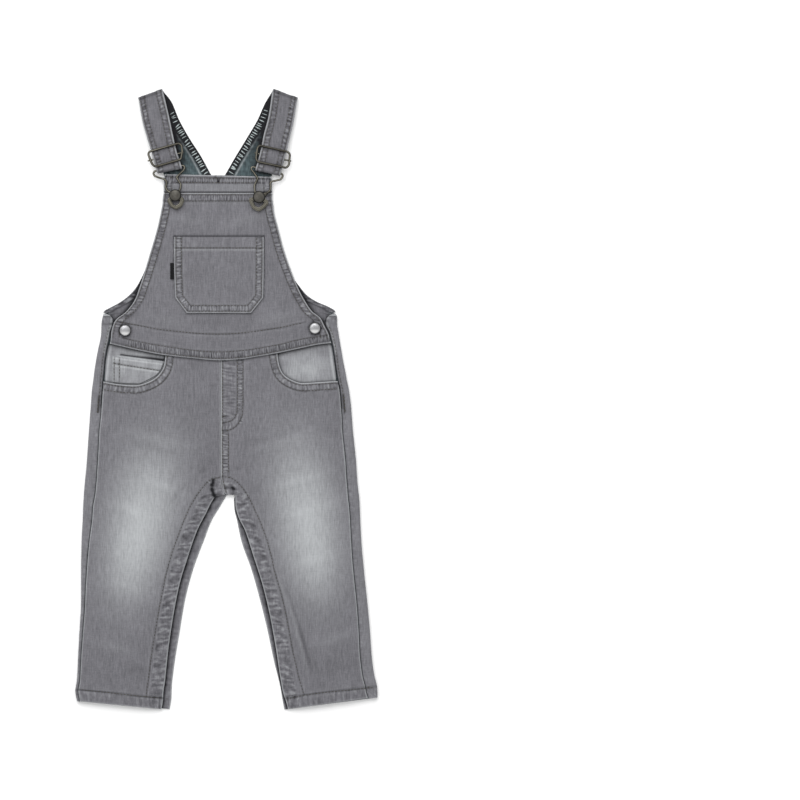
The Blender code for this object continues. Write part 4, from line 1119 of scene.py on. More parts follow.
def backPanel(name, side, finish):
    knots, columns = backRows(side)
    isFolded = columns[3] > 0
    lastFold = int(np.argmin(isFolded)) - 1
    at = rowPlan(knots[-1], backPiece["step"], turnedEdge, bandEdge)
    foldEnd = np.linspace(knots[lastFold] - 3, knots[lastFold], 4)
    at = np.unique(np.concatenate([at, knots[lastFold:lastFold + 2], foldEnd]))
    at = at[(at <= knots[lastFold]) | (at >= knots[lastFold + 1])]
    outerLevel, innerLevel, outer, _, inner = blended(knots, columns, at)
    centre = [[rows[1], rows[4]] for rows in (columns, backRows(-side)[1])]
    inner = meeting(inner, innerLevel, centre[0][::-1], centre[1][::-1])
    strip = throughPoints(knots[:lastFold + 1], columns[3][:lastFold + 1], np.minimum(at, knots[lastFold]))
    strip = np.where(at <= knots[lastFold], strip, 0)
    stripShares = np.array([0.0, 0.012, 0.035, 0.08, 0.15, 0.25, 0.38, 0.53, 0.7, 0.86])
    foldSteps = backPiece["foldSteps"]
    firstFlat = len(stripShares) + foldSteps
    openStops = 8.8 * np.linspace(0, 1, firstFlat + 1) ** 1.5
    starts, shares = columnPlan([0.0], bandEdge, 52)
    flatColumns = len(starts) - 1

    def shape(column, row, outside):
        middle = wall + layers["foldRadius"]
        centre = (outer - side * (layers["foldRadius"] + wall))[row]
        radius = np.where(outside, middle, layers["foldRadius"])
        folded = strip[row] > 0
        floorHeight = np.where(outside, 0.0, wall)
        innerX = inner[row] + side * layers["seamMeet"] / 2
        onStrip = folded & (column < len(stripShares))
        onArc = folded & (column >= len(stripShares)) & (column <= firstFlat)
        onFlat = column > firstFlat
        onOpen = ~folded & ~onFlat
        share = stripShares[np.clip(column, 0, len(stripShares) - 1)]
        x = np.where(onStrip, mix((outer - side * strip)[row], centre, share), 0.0)
        height = np.where(onStrip, middle + radius, 0.0)
        angle = np.pi * (column - len(stripShares)) / foldSteps
        x = np.where(onArc, centre + side * radius * np.sin(angle), x)
        height = np.where(onArc, middle + radius * np.cos(angle), height)
        x = np.where(onOpen, outer[row] - side * openStops[np.clip(column, 0, firstFlat)], x)
        start = np.where(folded, centre, outer[row] - side * openStops[-1])
        width = np.abs(start - innerX)
        flatColumn = np.clip(column - firstFlat, 0, flatColumns)
        along = starts[flatColumn] + shares[flatColumn] * width
        x = np.where(onFlat, start - side * along, x)
        height = np.where(onOpen | onFlat, floorHeight, height)
        reach = np.abs(x - innerX)
        whole = np.abs(x - outer[row]) / np.abs(inner[row] - outer[row])
        level = mix(outerLevel[row], innerLevel[row], np.minimum(whole, 1.0))
        fromFoot = level - mix(outerLevel[0], innerLevel[0], whole)
        fromTop = mix(outerLevel[-1], innerLevel[-1], whole) - level
        height = height + backLift(x, level) * onFlat
        relief = np.zeros(len(column))
        found = {key: np.zeros(len(column)) for key in ("pale", "dark", "rib", "run", "wrong")}

        def keep(where, marks, wrong=0.0):
            for key in ("pale", "dark", "rib", "run"):
                found[key][where] = marks[key] / (runScale if key == "run" else 1.0)
            found["wrong"][where] = wrong
            relief[where] = marks["relief"]

        under = outside & (onFlat | onOpen)
        keep(under, underDetail(side, x[under], level[under], reach[under], fromFoot[under], fromTop[under]))
        up = outside & (onStrip | onArc)
        fromSeam = np.abs(x - (outer - side * strip)[row])
        keep(up, stripDetail(side, level[up], fromSeam[up], knots[lastFold] - at[row][up], fromFoot[up]))
        relief[outside & onArc & (angle > np.pi / 2)] = 0
        hidden = ~outside & (onStrip | onArc)
        found["wrong"][hidden] = 1.0
        top = ~outside & (onFlat | onOpen)
        fromOuter = np.abs(x - outer[row])
        insideMarks, wrong = insideDetail(side, x[top], level[top], reach[top], fromOuter[top],
                                          folded[top].astype(float))
        keep(top, insideMarks, wrong)
        height = np.where(under, height - relief, height)
        height = np.where(top, height + relief, height)
        height = np.where(outside & onStrip, height + relief, height)
        return x, level, np.maximum(height, 0.0), found

    clothPiece(name, firstFlat + flatColumns, len(at) - 1, shape, finish)


# seat pockets and the bare patch, seen from below
def seatOutline(side, inset=0.0):   # down one side of a seat pocket, along its foot and up the other
    pocket = seatPocket
    near, far = pocket["near"] + inset, pocket["far"] - inset
    foot = pocket["foot"] + inset
    cut = pocket["cornerCut"] - 0.6 * inset
    offs = [(near, pocket["top"]), (near, pocket["corner"]), (near + cut, foot), (far - cut, foot),
            (far, pocket["corner"]), (far, pocket["top"])]
    return [(centreBack + side * off, level) for off, level in offs]


def seatPocketPart(name, side, finish):
    pocket = seatPocket
    columns, rows = 60, 62

    def shape(column, row, face):
        share = 0.5 - 0.5 * np.cos(np.pi * column / columns) * (1 - 0.35 * np.sin(np.pi * column / columns))
        climb = 0.5 - 0.5 * np.cos(np.pi * row / rows) * (1 - 0.35 * np.sin(np.pi * row / rows))
        level = mix(pocket["foot"], pocket["top"], climb)
        half = (pocket["far"] - pocket["near"]) / 2
        middle = (pocket["near"] + pocket["far"]) / 2
        below = (pocket["corner"] - level) / (pocket["corner"] - pocket["foot"])
        cut = pocket["cornerCut"] * np.clip(below, 0, 1)
        off = middle + (share * 2 - 1) * (half - cut)
        level = level - pocket["tilt"] * smooth((level - 300) / 19) * (pocket["far"] - off) / (2 * half)
        x = centreBack + side * off
        lift = 0.0
        if side < 0:
            lift = (seatPatch["wall"] + seamGap) * zoneOver(x, level, seatPatch, 0.5, 0.5, 0.5, 0.5, 2.5)
        edge = (half - cut) * (1 - np.abs(share * 2 - 1))
        edge = np.minimum(edge, (level - pocket["foot"]))
        fromTop = pocket["top"] - pocket["tilt"] * (pocket["far"] - off) / (2 * half) - level
        marks = blankMarks(x[face])
        alongRim = nearestOn(x[face], level[face], seatOutline(side))[1]
        addPuckers(marks, edge[face], 1.7, 6.6, alongRim, 5.0, 71 + side, 1.0, 0.9)
        addPuckers(marks, fromTop[face], 0.8, 9.0, x[face], 6.5, 72, 1.0, 0.6)
        for near in pocket["stitched"]:
            marks["dark"] += 0.42 * bump(edge[face] - near, 0.9)
        marks["dark"] += 0.42 * bump(fromTop[face] - 10.0, 0.9)
        marks["pale"] += 0.45 * bump(edge[face] - 0.3, 0.8) + 0.4 * bump(fromTop[face] - 0.3, 0.8)
        for low in (pocket["bandLow"], pocket["bandHigh"]):
            marks["dark"] += 0.4 * bump(level[face] - low, 0.8)
        marks["pale"] += washOf(x[face], level[face], washes["back"]) * 0.7
        height = np.where(face, lift, lift + layers["thinWall"])
        rounding = edgeDrop(np.minimum(edge, fromTop)) * face * 0.6
        return x, level, height + rounding, marksFor(face, marks)

    clothPiece(name, columns, rows, shape, finish)


def patchPart(name, finish):
    patch = seatPatch
    columns, rows = 30, 22

    def shape(column, row, outside):
        x = centreBack - mix(patch["far"], patch["near"], column / columns)
        level = mix(patch["foot"], patch["top"], row / rows)
        edge = np.minimum(np.minimum(x - centreBack + patch["far"], -patch["near"] - x + centreBack),
                          np.minimum(level - patch["foot"], patch["top"] - level))
        height = np.where(outside, edgeDrop(edge * 1.4) * 0.35, patch["wall"])
        return x, level, height, {"rib": np.zeros(len(x))}

    clothPiece(name, columns, rows, shape, finish)


def tabPart(name, finish):   # a folded loop of tape caught in the pocket's seam
    left, foot, right, top = loopTab["left"], loopTab["foot"], loopTab["right"], loopTab["top"]
    columns, rows = 16, 34

    def shape(column, row, outside):
        share = column / columns
        level = mix(foot, top, row / rows)
        x = mix(right, left, share)
        edge = np.minimum(level - foot, top - level)
        swell = np.sqrt(np.clip(1 - (2 * share - 0.55) ** 2 / 2.3, 0, 1))
        thickness = (layers["thinWall"] + 0.12) * swell - edgeDrop(edge) * 0.35
        height = onBib(x, level) + np.where(outside, thickness, 0.0)
        rib = 0.5 + 0.5 * np.sin(level * 7.0)
        return x, level, height, {"rib": rib}

    clothPiece(name, columns, rows, shape, finish)


loopTab = {"left": -53.3, "right": -49.9, "foot": 409.0, "top": 424.5}


# straps: from the back's top seam over the top fold, down the front and round the
# buckle's bar. Rows are left, its level, right, its level
strapPiece = {
    "wall": 1.5,
    "foldHollow": 1.0,
    "wireHeight": 4.7,
    "loopHollow": 1.1,
    "frontHeights": [3.8, 4.4, 4.7, 5.7, 4.7],
    "returnReach": 0.55,     # how far the end shows behind the slider
    "stitched": ((2.1, 2.1), (5.9, 6.8)),   # from the outer and from the inner edge
    "cut": (44.5, 215.0),
    "area": 0.0062,
    "step": 1.5,
    "right": {
        "back": [
            (-59, 507.1, -14.5, 507.95),
            (-64.5, 525.5, -24, 525.5),
            (-70.5, 543.5, -35.5, 543.5),
            (-76, 561.5, -45.5, 561.5),
            (-80.5, 575, -52.5, 578),
        ],
        "fold": (-84, 581.5, -61, 590),
        "front": [
            (-79.5, 558.5, -54.5, 564),
            (-74.5, 541, -51, 547.5),
            (-71, 529.5, -48.5, 536),
            (-69, 522.5, -46.5, 528.5),
            (-67, 516, -44, 521),
        ],
        "loop": (-65.5, 509.5, -42, 514),
    },
    "left": {
        "back": [
            (-1.5, 507.9, 42.5, 506.6),
            (8, 524.5, 48, 524.5),
            (19.5, 543.5, 53.5, 543.5),
            (29.5, 560.5, 59, 560.5),
            (37, 577, 64.5, 575),
        ],
        "fold": (44.5, 590, 68, 581.5),
        "front": [
            (40, 563.5, 63.5, 557.5),
            (35.5, 546, 59.5, 540.5),
            (33.5, 535.5, 57, 530),
            (31.5, 527, 55, 522),
            (29.5, 519.5, 53, 514.5),
        ],
        "loop": (27.5, 512.5, 51, 507),
    },
}


def bendStations(line, upward, centreHeight, hollow, angles):   # round a fold, from its outermost line
    left, right = np.array([line[0], line[1], 0.0]), np.array([line[2], line[3], 0.0])
    along = (right - left) / np.linalg.norm(right - left)
    away = np.array([-along[1], along[0], 0.0]) * (1 if upward else -1)
    radius = hollow + strapPiece["wall"]
    start = np.array([0, 0, centreHeight]) - away * radius
    stations = []
    for angle in angles:
        heading = away * math.sin(angle) - np.array([0, 0, math.cos(angle)])
        inside = [left + start + heading * hollow, right + start + heading * hollow]
        outer = [left + start + heading * radius, right + start + heading * radius]
        stations.append(inside + outer)
    return stations


def flatStation(row, inside, outer):
    return [np.array([row[0], row[1], inside]), np.array([row[2], row[3], inside]),
            np.array([row[0], row[1], outer]), np.array([row[2], row[3], outer])]


def between(stations, step):   # more stations between those given
    stations = np.array(stations)
    middles = stations.mean(axis=1)
    knots = runOf(np.linalg.norm(np.diff(middles, axis=0), axis=1))
    at = np.linspace(0, knots[-1], max(2, int(knots[-1] / step) + 1))
    flat = stations.reshape(len(stations), -1)
    return np.column_stack(blended(knots, flat.T, at)).reshape(-1, 4, 3)


def strapStations(spec):
    piece = strapPiece
    turn = np.linspace(0, math.pi, 15)
    fold = bendStations(spec["fold"], True, piece["wall"] + piece["foldHollow"], piece["foldHollow"], turn)
    loop = bendStations(spec["loop"], False, piece["wireHeight"], piece["loopHollow"], turn[::-1])
    back = between([flatStation(row, piece["wall"], 0.0) for row in spec["back"]] + [fold[0]], piece["step"])
    front = [flatStation(row, height, height + piece["wall"])
             for row, height in zip(spec["front"], piece["frontHeights"])]
    front = between([fold[-1]] + front + [loop[0]], piece["step"])
    lower = piece["wireHeight"] - piece["loopHollow"]
    returned = [loop[-1]]
    for share in (0.5, 1.0):
        far = 0.15 + piece["returnReach"] * share
        row = mix(np.array(spec["loop"]), np.array(spec["front"][2]), far)
        returned.append(flatStation(row, lower, lower - piece["wall"]))
    returned = between(returned, piece["step"])
    parts = [back, np.array(fold[1:-1]), front, np.array(loop[1:-1]), returned]
    zones = np.concatenate([np.full(len(part), i) for i, part in enumerate(parts)])
    return np.concatenate(parts), zones


def strapPart(name, side, finish):
    spec = strapPiece[sideName[side]]
    stations, zones = strapStations(spec)
    middles = stations.mean(axis=1)
    run = runOf(np.linalg.norm(np.diff(middles, axis=0), axis=1))
    starts, shares = columnPlan(bandEdge, bandEdge, 22)
    lying = np.array([spec["fold"]] + spec["front"] + [spec["loop"]], float)
    frontEdge = np.vstack([lying[:, :2] if side > 0 else lying[:, 2:],
                           lying[-1:, 2:] if side > 0 else lying[-1:, :2]])

    def shape(column, row, outside):
        near = np.where(outside[:, None], stations[row, 2], stations[row, 0])
        far = np.where(outside[:, None], stations[row, 3], stations[row, 1])
        width = np.linalg.norm(far - near, axis=1)
        reach = starts[column] + shares[column] * width
        points = near + (far - near) * (reach / width)[:, None]
        growth = (stations[:, 2] - stations[:, 0])[row]
        growth = growth / np.linalg.norm(growth, axis=1)[:, None]
        edge = np.minimum(reach, width - reach)
        zone = zones[row]
        marks = blankMarks(reach)
        addEdge(marks, edge, np.where(outside, 1.0, 0.3))
        inner = reach if side > 0 else width - reach
        isInner = inner < width / 2
        for outer, inmost in strapPiece["stitched"]:
            fromLine = edge - np.where(isInner, inmost, outer)
            marks["relief"] -= 0.2 * bump(fromLine, 0.8) * outside
            marks["dark"] += sewingTone["ditchDark"] * bump(fromLine, 0.7) * (outside | (zone > 0))
        addPuckers(marks, edge, 2.0, 6.6, run[row] + 3.0 * isInner, 4.6, 81 + side, outside * 1.0, 1.0)
        marks["relief"] += 0.25 * smooth((7.0 - edge) / 0.8) * outside
        marks["relief"] += 0.16 * mottle(points[:, 0], points[:, 1], 21.0, 84) * outside * smooth(edge / 6)
        marks["pale"] += 0.12 * bump(inner - 0.9, 0.8) * outside
        marks["dark"] += (0.10 + 0.4 * (zone == 1)) * outside
        foldRun = run[np.flatnonzero(zones == 2)[0]]
        marks["dark"] += 0.4 * bump(run[row] - foldRun, 0.9) * (zone == 2) * outside
        # painted shade on the inside of the strap's back part, under its front part: darkest at the top by
        # the fold and along the front part's edge, lighter lower down
        lower = smooth((558 - points[:, 1]) / 50)
        within = (zone == 0) * (~outside)
        marks["dark"] += within * (1.0 - 0.90 * lower + 0.85 * smooth((9.0 - inner) / 0.8))
        marks["dark"] += within * 0.25 * mottle(points[:, 0], points[:, 1], 5.0, 85)
        addShadow(marks, distanceTo(points[:, 0], points[:, 1], frontEdge), 2.6, within * 0.9)
        marks["dark"] += within * 0.9 * smooth((points[:, 1] - 570) / 8)
        marks["pale"] += within * 0.5 * bump(inner - 0.5, 0.5) * lower
        marks["pale"] += within * 0.7 * bump(inner - 9.8, 0.9) * smooth((552 - points[:, 1]) / 8)
        flat = np.where(outside, 0.0, np.minimum(marks["relief"], 0.15))
        relief = np.where(zone == 0, flat, marks["relief"])
        relief = np.where(zone == 4, np.minimum(relief, 0.0), relief)
        points = points + growth * np.where(outside, relief, -np.where(zone == 0, relief, 0.0))[:, None]
        found = {key: marks[key] for key in ("pale", "dark", "rib")}
        found["wrong"] = np.where(outside, 0.0, 1.0)
        found["run"] = marks["run"] / runScale
        return points[:, 0], points[:, 1], np.maximum(points[:, 2], 0.0), found

    clothPiece(name, len(starts) - 1, len(stations) - 1, shape, finish)


# buckles and buttons
buckles = {
    "wire": 0.8,
    "frameWire": 1.05,
    "hookWire": 0.95,
    "keyhole": 1.95,         # the hook is beaten flat round its button
    "highlightFrom": 0.80,
    "wireHeight": 4.7,
    "frameHeight": 7.55,
    "slider_right": [
        (-73, 530), (-45, 538), (-42.4, 536), (-41.6, 530.5), (-43, 522.8),
        (-67.5, 515.6), (-70.5, 518.5), (-74, 527.5),
    ],
    "slider_left": [
        (31.5, 536), (58.5, 529.8), (60.4, 527.5), (59.6, 517.5), (57, 514.6),
        (29.5, 520.6), (28.2, 523.5), (29.6, 533.5),
    ],
    "hook_right": [
        (-66, 512), (-42.5, 517), (-40.2, 516.8), (-39.5, 515), (-40.5, 512.5),
        (-44, 509.2), (-47.3, 506), (-45.6, 503), (-43.2, 499.4), (-43.6, 495.4),
        (-45.2, 491.8), (-45.2, 487), (-41.4, 484.4), (-43.6, 479.4), (-47.6, 476.9),
        (-51, 478.4), (-54.4, 483.6), (-51.8, 487), (-51.8, 490.4), (-56, 493.2),
        (-57.8, 496.6), (-56.4, 500.4), (-57.9, 503.7), (-63, 505.2), (-68, 507),
        (-69.4, 509.4), (-68.2, 511.4),
    ],
    "hook_left": [
        (28, 515), (51.5, 509.5), (53.3, 508.6), (53.6, 506.4), (51.4, 503.6),
        (46.8, 502.6), (42.7, 501.8), (41.4, 500), (42.4, 496.8), (41.2, 493),
        (37.6, 490.2), (34.3, 488.4), (34.3, 485.4), (38.6, 482), (34.6, 477.4),
        (30.5, 475), (26, 477.4), (22.8, 484.6), (27.7, 485.4), (27.7, 489.2),
        (26.9, 494), (26.6, 498), (28.3, 501.8), (29.8, 505), (26.4, 510),
        (23.5, 513.6), (23.9, 515.4), (25.6, 515.7),
    ],
    "slide_bar_right": [(-74.6, 521.4), (-40.4, 529.6)],
    "slide_bar_left": [(27.0, 528.9), (61.6, 521.1)],
}


def wirePart(name, height, wire, closed, finish):
    marks = buckles[name]
    curve = bpy.data.curves.new(name, "CURVE")
    curve.dimensions = "3D"
    curve.bevel_depth = wire * mm
    curve.bevel_resolution = 4
    curve.use_fill_caps = True
    spline = curve.splines.new("POLY")
    loop = closedCurve(marks, 1.6 if name.startswith("slider") else 1.0) if closed else marks
    spline.points.add(len(loop) - 1)
    for point, (x, level) in zip(spline.points, loop):
        point.co = (*place(x, level, height), 1.0)
        if name.startswith("hook"):
            point.radius = mix(1.0, buckles["keyhole"], float(smooth((492.5 - level) / 4)))
    spline.use_cyclic_u = closed
    bent = linked(name, curve)
    bpy.context.view_layer.update()
    mesh = bpy.data.meshes.new_from_object(bent.evaluated_get(bpy.context.evaluated_depsgraph_get()))
    bpy.data.objects.remove(bent, do_unlink=True)
    mesh.name = name
    smoothed(mesh)
    spots = spotsOf(mesh)
    rise = spots[:, 2] / mm - height
    spots[:, 2] = (height + np.clip(rise, -wire, wire)) * mm
    mesh.vertices.foreach_set("co", spots.ravel())
    # the top ridge of each wire, the slider's ends and the top of the beaten keyhole are painted lighter:
    # partly wear, partly painted highlight
    uneven = 0.7 + 0.3 * mottle(spots[:, 0] / mm, spots[:, 1] / mm, 9.0, 91)
    ridge = smooth((rise / wire - buckles["highlightFrom"]) / 0.2) * smooth((1.2 - rise / wire) / 0.1) * uneven
    beatenAndHighlight = 0.16 * smooth((rise / wire - 1.25) / 0.2) + 0.30 * smooth((rise / wire - 1.86) / 0.05)
    ends = np.abs(spots[:, 0] / mm - np.mean([mark[0] for mark in marks])) / 16.0
    share = smooth((ends - 0.7) / 0.25) if name.startswith("slider") else 1.0
    markMesh(mesh, "rubbed_and_highlight", np.maximum(ridge * mix(0.25, 0.9, share), beatenAndHighlight * name.startswith("hook")))
    addPiece(name + "_metal", mesh, finish, name)


def closedCurve(marks, radius=1.6, steps=4):   # a closed wire with its corners bent round
    points = [np.array(mark, float) for mark in marks]
    bent = []
    for i, point in enumerate(points):
        before, after = points[i - 1], points[(i + 1) % len(points)]
        toBefore, toAfter = before - point, after - point
        near = min(radius, 0.45 * np.linalg.norm(toBefore))
        far = min(radius, 0.45 * np.linalg.norm(toAfter))
        start = point + toBefore / np.linalg.norm(toBefore) * near
        end = point + toAfter / np.linalg.norm(toAfter) * far
        for step in range(steps + 1):
            share = step / steps
            bent.append(mix(mix(start, point, share), mix(point, end, share), share))
    return bent


# radius and height of each button from its top down
buttons = {
    "bib_button_right": (-48.5, 488.6),
    "bib_button_left": (31.0, 487.0),
    "side_button_right": (-96.0, 360.5),
    "side_button_left": (84.0, 362.5),
    "bibCap": [(0.0, 2.3), (1.2, 2.28), (2.4, 2.1), (3.5, 1.8), (4.4, 1.5), (5.1, 1.15), (5.55, 0.8),
               (5.78, 0.55), (5.8, 0.3), (5.7, 0.1), (5.5, 0.0)],
    "shank": 1.9,
    "edgeRise": 0.7 * 0.8,
    "sideCap": [(0.0, 2.4), (1.2, 2.38), (2.4, 2.28), (3.4, 2.12), (4.0, 1.92), (4.3, 1.70), (4.45, 1.62),
                (4.7, 1.66), (5.05, 1.7), (5.35, 1.55), (5.52, 1.3), (5.6, 0.9), (5.6, 0.6), (5.5, 0.25),
                (5.4, 0.0), (0.0, 0.0)],
}


def buttonPart(name, profile, seat, finish):
    x, level = buttons[name]
    turned = bmesh.new()
    last = None
    for radius, rise in profile:
        vert = turned.verts.new(Vector((radius, 0.0, rise)) * mm)
        if last:
            turned.edges.new((last, vert))
        last = vert
    bmesh.ops.spin(turned, geom=turned.verts[:] + turned.edges[:], cent=(0, 0, 0), axis=(0, 0, 1),
                   angle=2 * math.pi, steps=48, use_merge=True)
    bmesh.ops.remove_doubles(turned, verts=turned.verts[:], dist=0.00001)
    bmesh.ops.recalc_face_normals(turned, faces=turned.faces[:])
    bmesh.ops.translate(turned, verts=turned.verts[:], vec=place(x, level, seat))
    mesh = meshFrom(turned, name)
    smoothed(mesh, 40)
    spots = spotsOf(mesh) / mm
    outFrom = np.hypot(spots[:, 0] - x, spots[:, 1] - (level - layers["originLevel"]))
    rim = max(radius for radius, rise in profile)
    # painted shade: the outer rim of each button is darkened
    markMesh(mesh, "rim_shade", 0.9 * smooth((outFrom - rim + 1.0) / 0.4))
    if name.startswith("side"):
        upper = (spots[:, 1] - (level - layers["originLevel"])) / rim
        # painted highlight: the lower half of a side button's face is painted lighter
        markMesh(mesh, "rubbed_and_highlight", 0.85 * smooth((0.0 - upper) / 0.6) * smooth((rim - 1.1 - outFrom) / 0.5))
    addPiece(name + "_metal", mesh, finish, name)


def buttonSeat(name):   # just above the turned edge that a button sits on
    x, level = buttons[name]
    return float(bibHeight(np.array([x]), np.array([level]))[0]) + wall + buttons["edgeRise"] + seamGap


def addHardware(finishes):
    for kind, height, wire in (("slider_", "frameHeight", "frameWire"), ("slide_bar_", "wireHeight", "wire"),
                               ("hook_", "wireHeight", "hookWire")):
        for hand in sideName.values():
            wirePart(kind + hand, buckles[height], buckles[wire], kind != "slide_bar_", finishes["wire"])
    seat = buttonSeat("bib_button_right")
    cap = buckles["wireHeight"] + buckles["hookWire"] + seamGap - seat
    profile = [(radius, rise + cap) for radius, rise in buttons["bibCap"]]
    profile += [(buttons["shank"], cap), (buttons["shank"], 0.0), (0.0, 0.0)]
    for hand in sideName.values():
        buttonPart("bib_button_" + hand, profile, seat, finishes["cap"])
    flap = buttonSeat("side_button_right")
    for hand in sideName.values():
        buttonPart("side_button_" + hand, buttons["sideCap"], flap, finishes["bright"])


# sewing thread
thread = {"radius": 0.33, "length": 2.35, "gap": 0.75, "sunk": 0.1}


def groundTree(names):   # the finished cloth, to be asked for heights
    trees = []
    for name in names:
        mesh = bpy.data.objects[name + "_cloth"].data
        found = bmesh.new()
        found.from_mesh(mesh)
        trees.append(BVHTree.FromBMesh(found))
        found.free()
    return trees


def heightOn(trees, x, level, fromBelow):
    start = place(x, level, -20.0 if fromBelow else 40.0)
    best = None
    for tree in trees:
        spot = tree.ray_cast(start, Vector((0, 0, 1 if fromBelow else -1)))[0]
        if spot is None:
            continue
        if best is None or (spot.z < best if fromBelow else spot.z > best):
            best = spot.z
    return best


def addStitches(sewing, trees, line, fromBelow, shift):
    line = np.array(line, float)
    run = runOf(np.hypot(*np.diff(line, axis=0).T))
    pitch = thread["length"] + thread["gap"]
    count = int((run[-1] - shift) / pitch)
    for i in range(count):
        ends = []
        for along in (shift + i * pitch, shift + i * pitch + thread["length"]):
            x, level = pointAt(line, run, along)
            height = heightOn(trees, x, level, fromBelow)
            if height is None:
                break
            sunk = thread["sunk"] * mm
            rise = height + thread["radius"] * 0.55 * mm - sunk
            if fromBelow:
                rise = max(0.2 * mm, height - sunk * 0.5)
            ends.append(Vector((x * mm, (level - layers["originLevel"]) * mm, rise)))
        if len(ends) < 2 or abs(ends[0].z - ends[1].z) > 0.0011:
            continue
        laySpool(sewing, ends, thread["radius"], 0.8)


def stitchedArea(name, grounds, lines, finish, node, fromBelow=False):
    trees = groundTree(grounds)
    whole = bmesh.new()
    for i, line in enumerate(lines):
        sewing = bmesh.new()
        addStitches(sewing, trees, line, fromBelow, 0.4 + 0.37 * (i % 5))
        part = meshFrom(sewing, "run")
        whole.from_mesh(part)
        bpy.data.meshes.remove(part)
    mesh = meshFrom(whole, name)
    mesh.shade_smooth()
    addPiece(name, mesh, finish, node, False)
    print("sewed", name, len(mesh.polygons), "faces")


def edgeRun(offset, low, high, side):   # a line inside the bib's edge
    levels = np.linspace(low, high, 40)
    left, right = bibEdges(levels)
    x = left + offset if side < 0 else right - offset
    x = np.where(levels < layers["armholeLevel"], withinSeams(x, levels), x)
    return np.column_stack([x, levels])


def ladderPart(name, node, side, finish):   # bars of pale thread along the strap's inner edge
    trees = groundTree([node])
    ladder = bmesh.new()
    rng = np.random.default_rng(95 + side)
    rows = np.array(strapPiece[sideName[side]]["back"], float)
    edge = rows[:, :2] if side > 0 else rows[:, 2:]
    run = runOf(np.hypot(*np.diff(edge, axis=0).T))
    at = overlock["start"]
    while at < run[-1] + 2.0:
        start = pointAt(edge, run, at)
        along = pointAt(edge, run, at + 2) - pointAt(edge, run, at - 2)
        along = along / np.linalg.norm(along)
        inward = np.array([along[1], -along[0]]) * side
        lean = along * rng.uniform(-1.6, 0.9)
        low = start + inward * overlock["near"]
        high = start + inward * (overlock["far"] + rng.uniform(-1.2, 0.5)) + lean
        fade = rng.uniform(0.55, 1.2) * (1.1 - 0.55 * at / run[-1])
        ends = []
        for x, level in (low, high):
            height = heightOn(trees, x, level, False)
            ends.append(None if height is None else Vector(
                (x * mm, (level - layers["originLevel"]) * mm, height + 0.12 * mm)))
        if None not in ends and abs(ends[0].z - ends[1].z) < 0.0008:
            laySpool(ladder, ends, overlock["radius"] * fade, 0.45)
        at += overlock["pitch"] * rng.uniform(0.7, 1.3)
    mesh = meshFrom(ladder, name)
    mesh.shade_smooth()
    addPiece(name, mesh, finish, node, False)


overlock = {"start": 2.5, "pitch": 2.8, "near": 1.0, "far": 7.2, "radius": 0.74}


def laySpool(sewing, ends, radius, flatness):   # one stitch, a long bead between its ends
    heading = ends[1] - ends[0]
    turn = heading.to_track_quat("X", "Z").to_matrix().to_4x4()
    size = Matrix.Diagonal((heading.length / 2, radius * mm, radius * flatness * mm, 1.0))
    spot = Matrix.Translation((ends[0] + ends[1]) / 2)
    bmesh.ops.create_uvsphere(sewing, u_segments=6, v_segments=5, radius=1.0, matrix=spot @ turn @ size)


def insideEdges(rows, fromLeft, fromRight):   # lines inside a strap's two edges
    across = rows[:, 2:] - rows[:, :2]
    across /= np.hypot(across[:, 0], across[:, 1])[:, None]
    return [rows[:, :2] + across * fromLeft, rows[:, 2:] - across * fromRight]


def addSewing(finish, pale):
    front = list(frontSewing["right"].values()) + list(frontSewing["left"].values())
    stitchedArea("thread_front", ["front_right", "front_left", "back_right", "back_left"], front, finish,
                 "front_right")
    sides = []
    for side in (-1, 1):
        for more, high in ((0.0, stripLine["high"]), (0.8, 300.0)):
            at = np.linspace(stripLine["low"], high, 30)
            sides.append(np.column_stack([sideSeam(side, at) + side * (stripLine["offset"] + more), at]))
        foot = sideSeam(side, 21.0)
        sides.append(np.array([(foot + side * 0.8, 22.0), (foot + side * 7.0, 22.6)]))
    stitchedArea("thread_strips", ["back_right", "back_left"], sides, finish, "back_right")
    waistAt = np.linspace(-98, 88, 50)
    waistLow = np.column_stack([waistAt, waistLevel(waistAt) + 1.9])
    bibLines = [bibFold, waistSecond, waistLow]
    for side in (-1, 1):
        for offset in bibPiece["stitched"]:
            bibLines.append(edgeRun(offset, 352.0, 499.5, side))
    top = bibPiece["top"]
    bibLines += [[(-50.0, top - drop), (34.0, top - drop)] for drop in bibPiece["topStitched"]]
    bibLines += [[(-50.0, 501.0), (34.0, 500.6)], [(-54.0, 505.4), (38.0, 505.0)],
                 [(-10.6, 507.2), (-7.9, 501.7)]]
    stitchedArea("thread_bib", ["bib", "bib_yoke"], bibLines, finish, "bib")
    stitchedArea("thread_bib_pocket", ["bib_pocket"], bibPocketSewing, finish, "bib_pocket")
    stitchedArea("thread_coin_pocket", ["coin_pocket"], coinPocket["stitched"], finish, "coin_pocket")
    for side, hand in sideName.items():
        name, spec = "strap_" + hand, strapPiece[hand]
        rows = np.array([spec["fold"]] + spec["front"] + [spec["loop"]], float)
        lines = []
        for outer, inner in strapPiece["stitched"]:
            left, right = (inner, outer) if side > 0 else (outer, inner)
            lines += insideEdges(rows, left, right)
        stitchedArea("thread_" + name, [name], lines, finish, name)
        rows = np.array(spec["back"], float)
        near, far = insideEdges(rows, 2.4, 2.4), insideEdges(rows, 7.0, 7.0)
        under = [near[0], far[0], near[1], far[1]]
        stitchedArea("thread_under_" + name, [name], under, finish, name, True)
        ladderPart("overlock_" + name, name, side, pale)
    underSewing(finish)


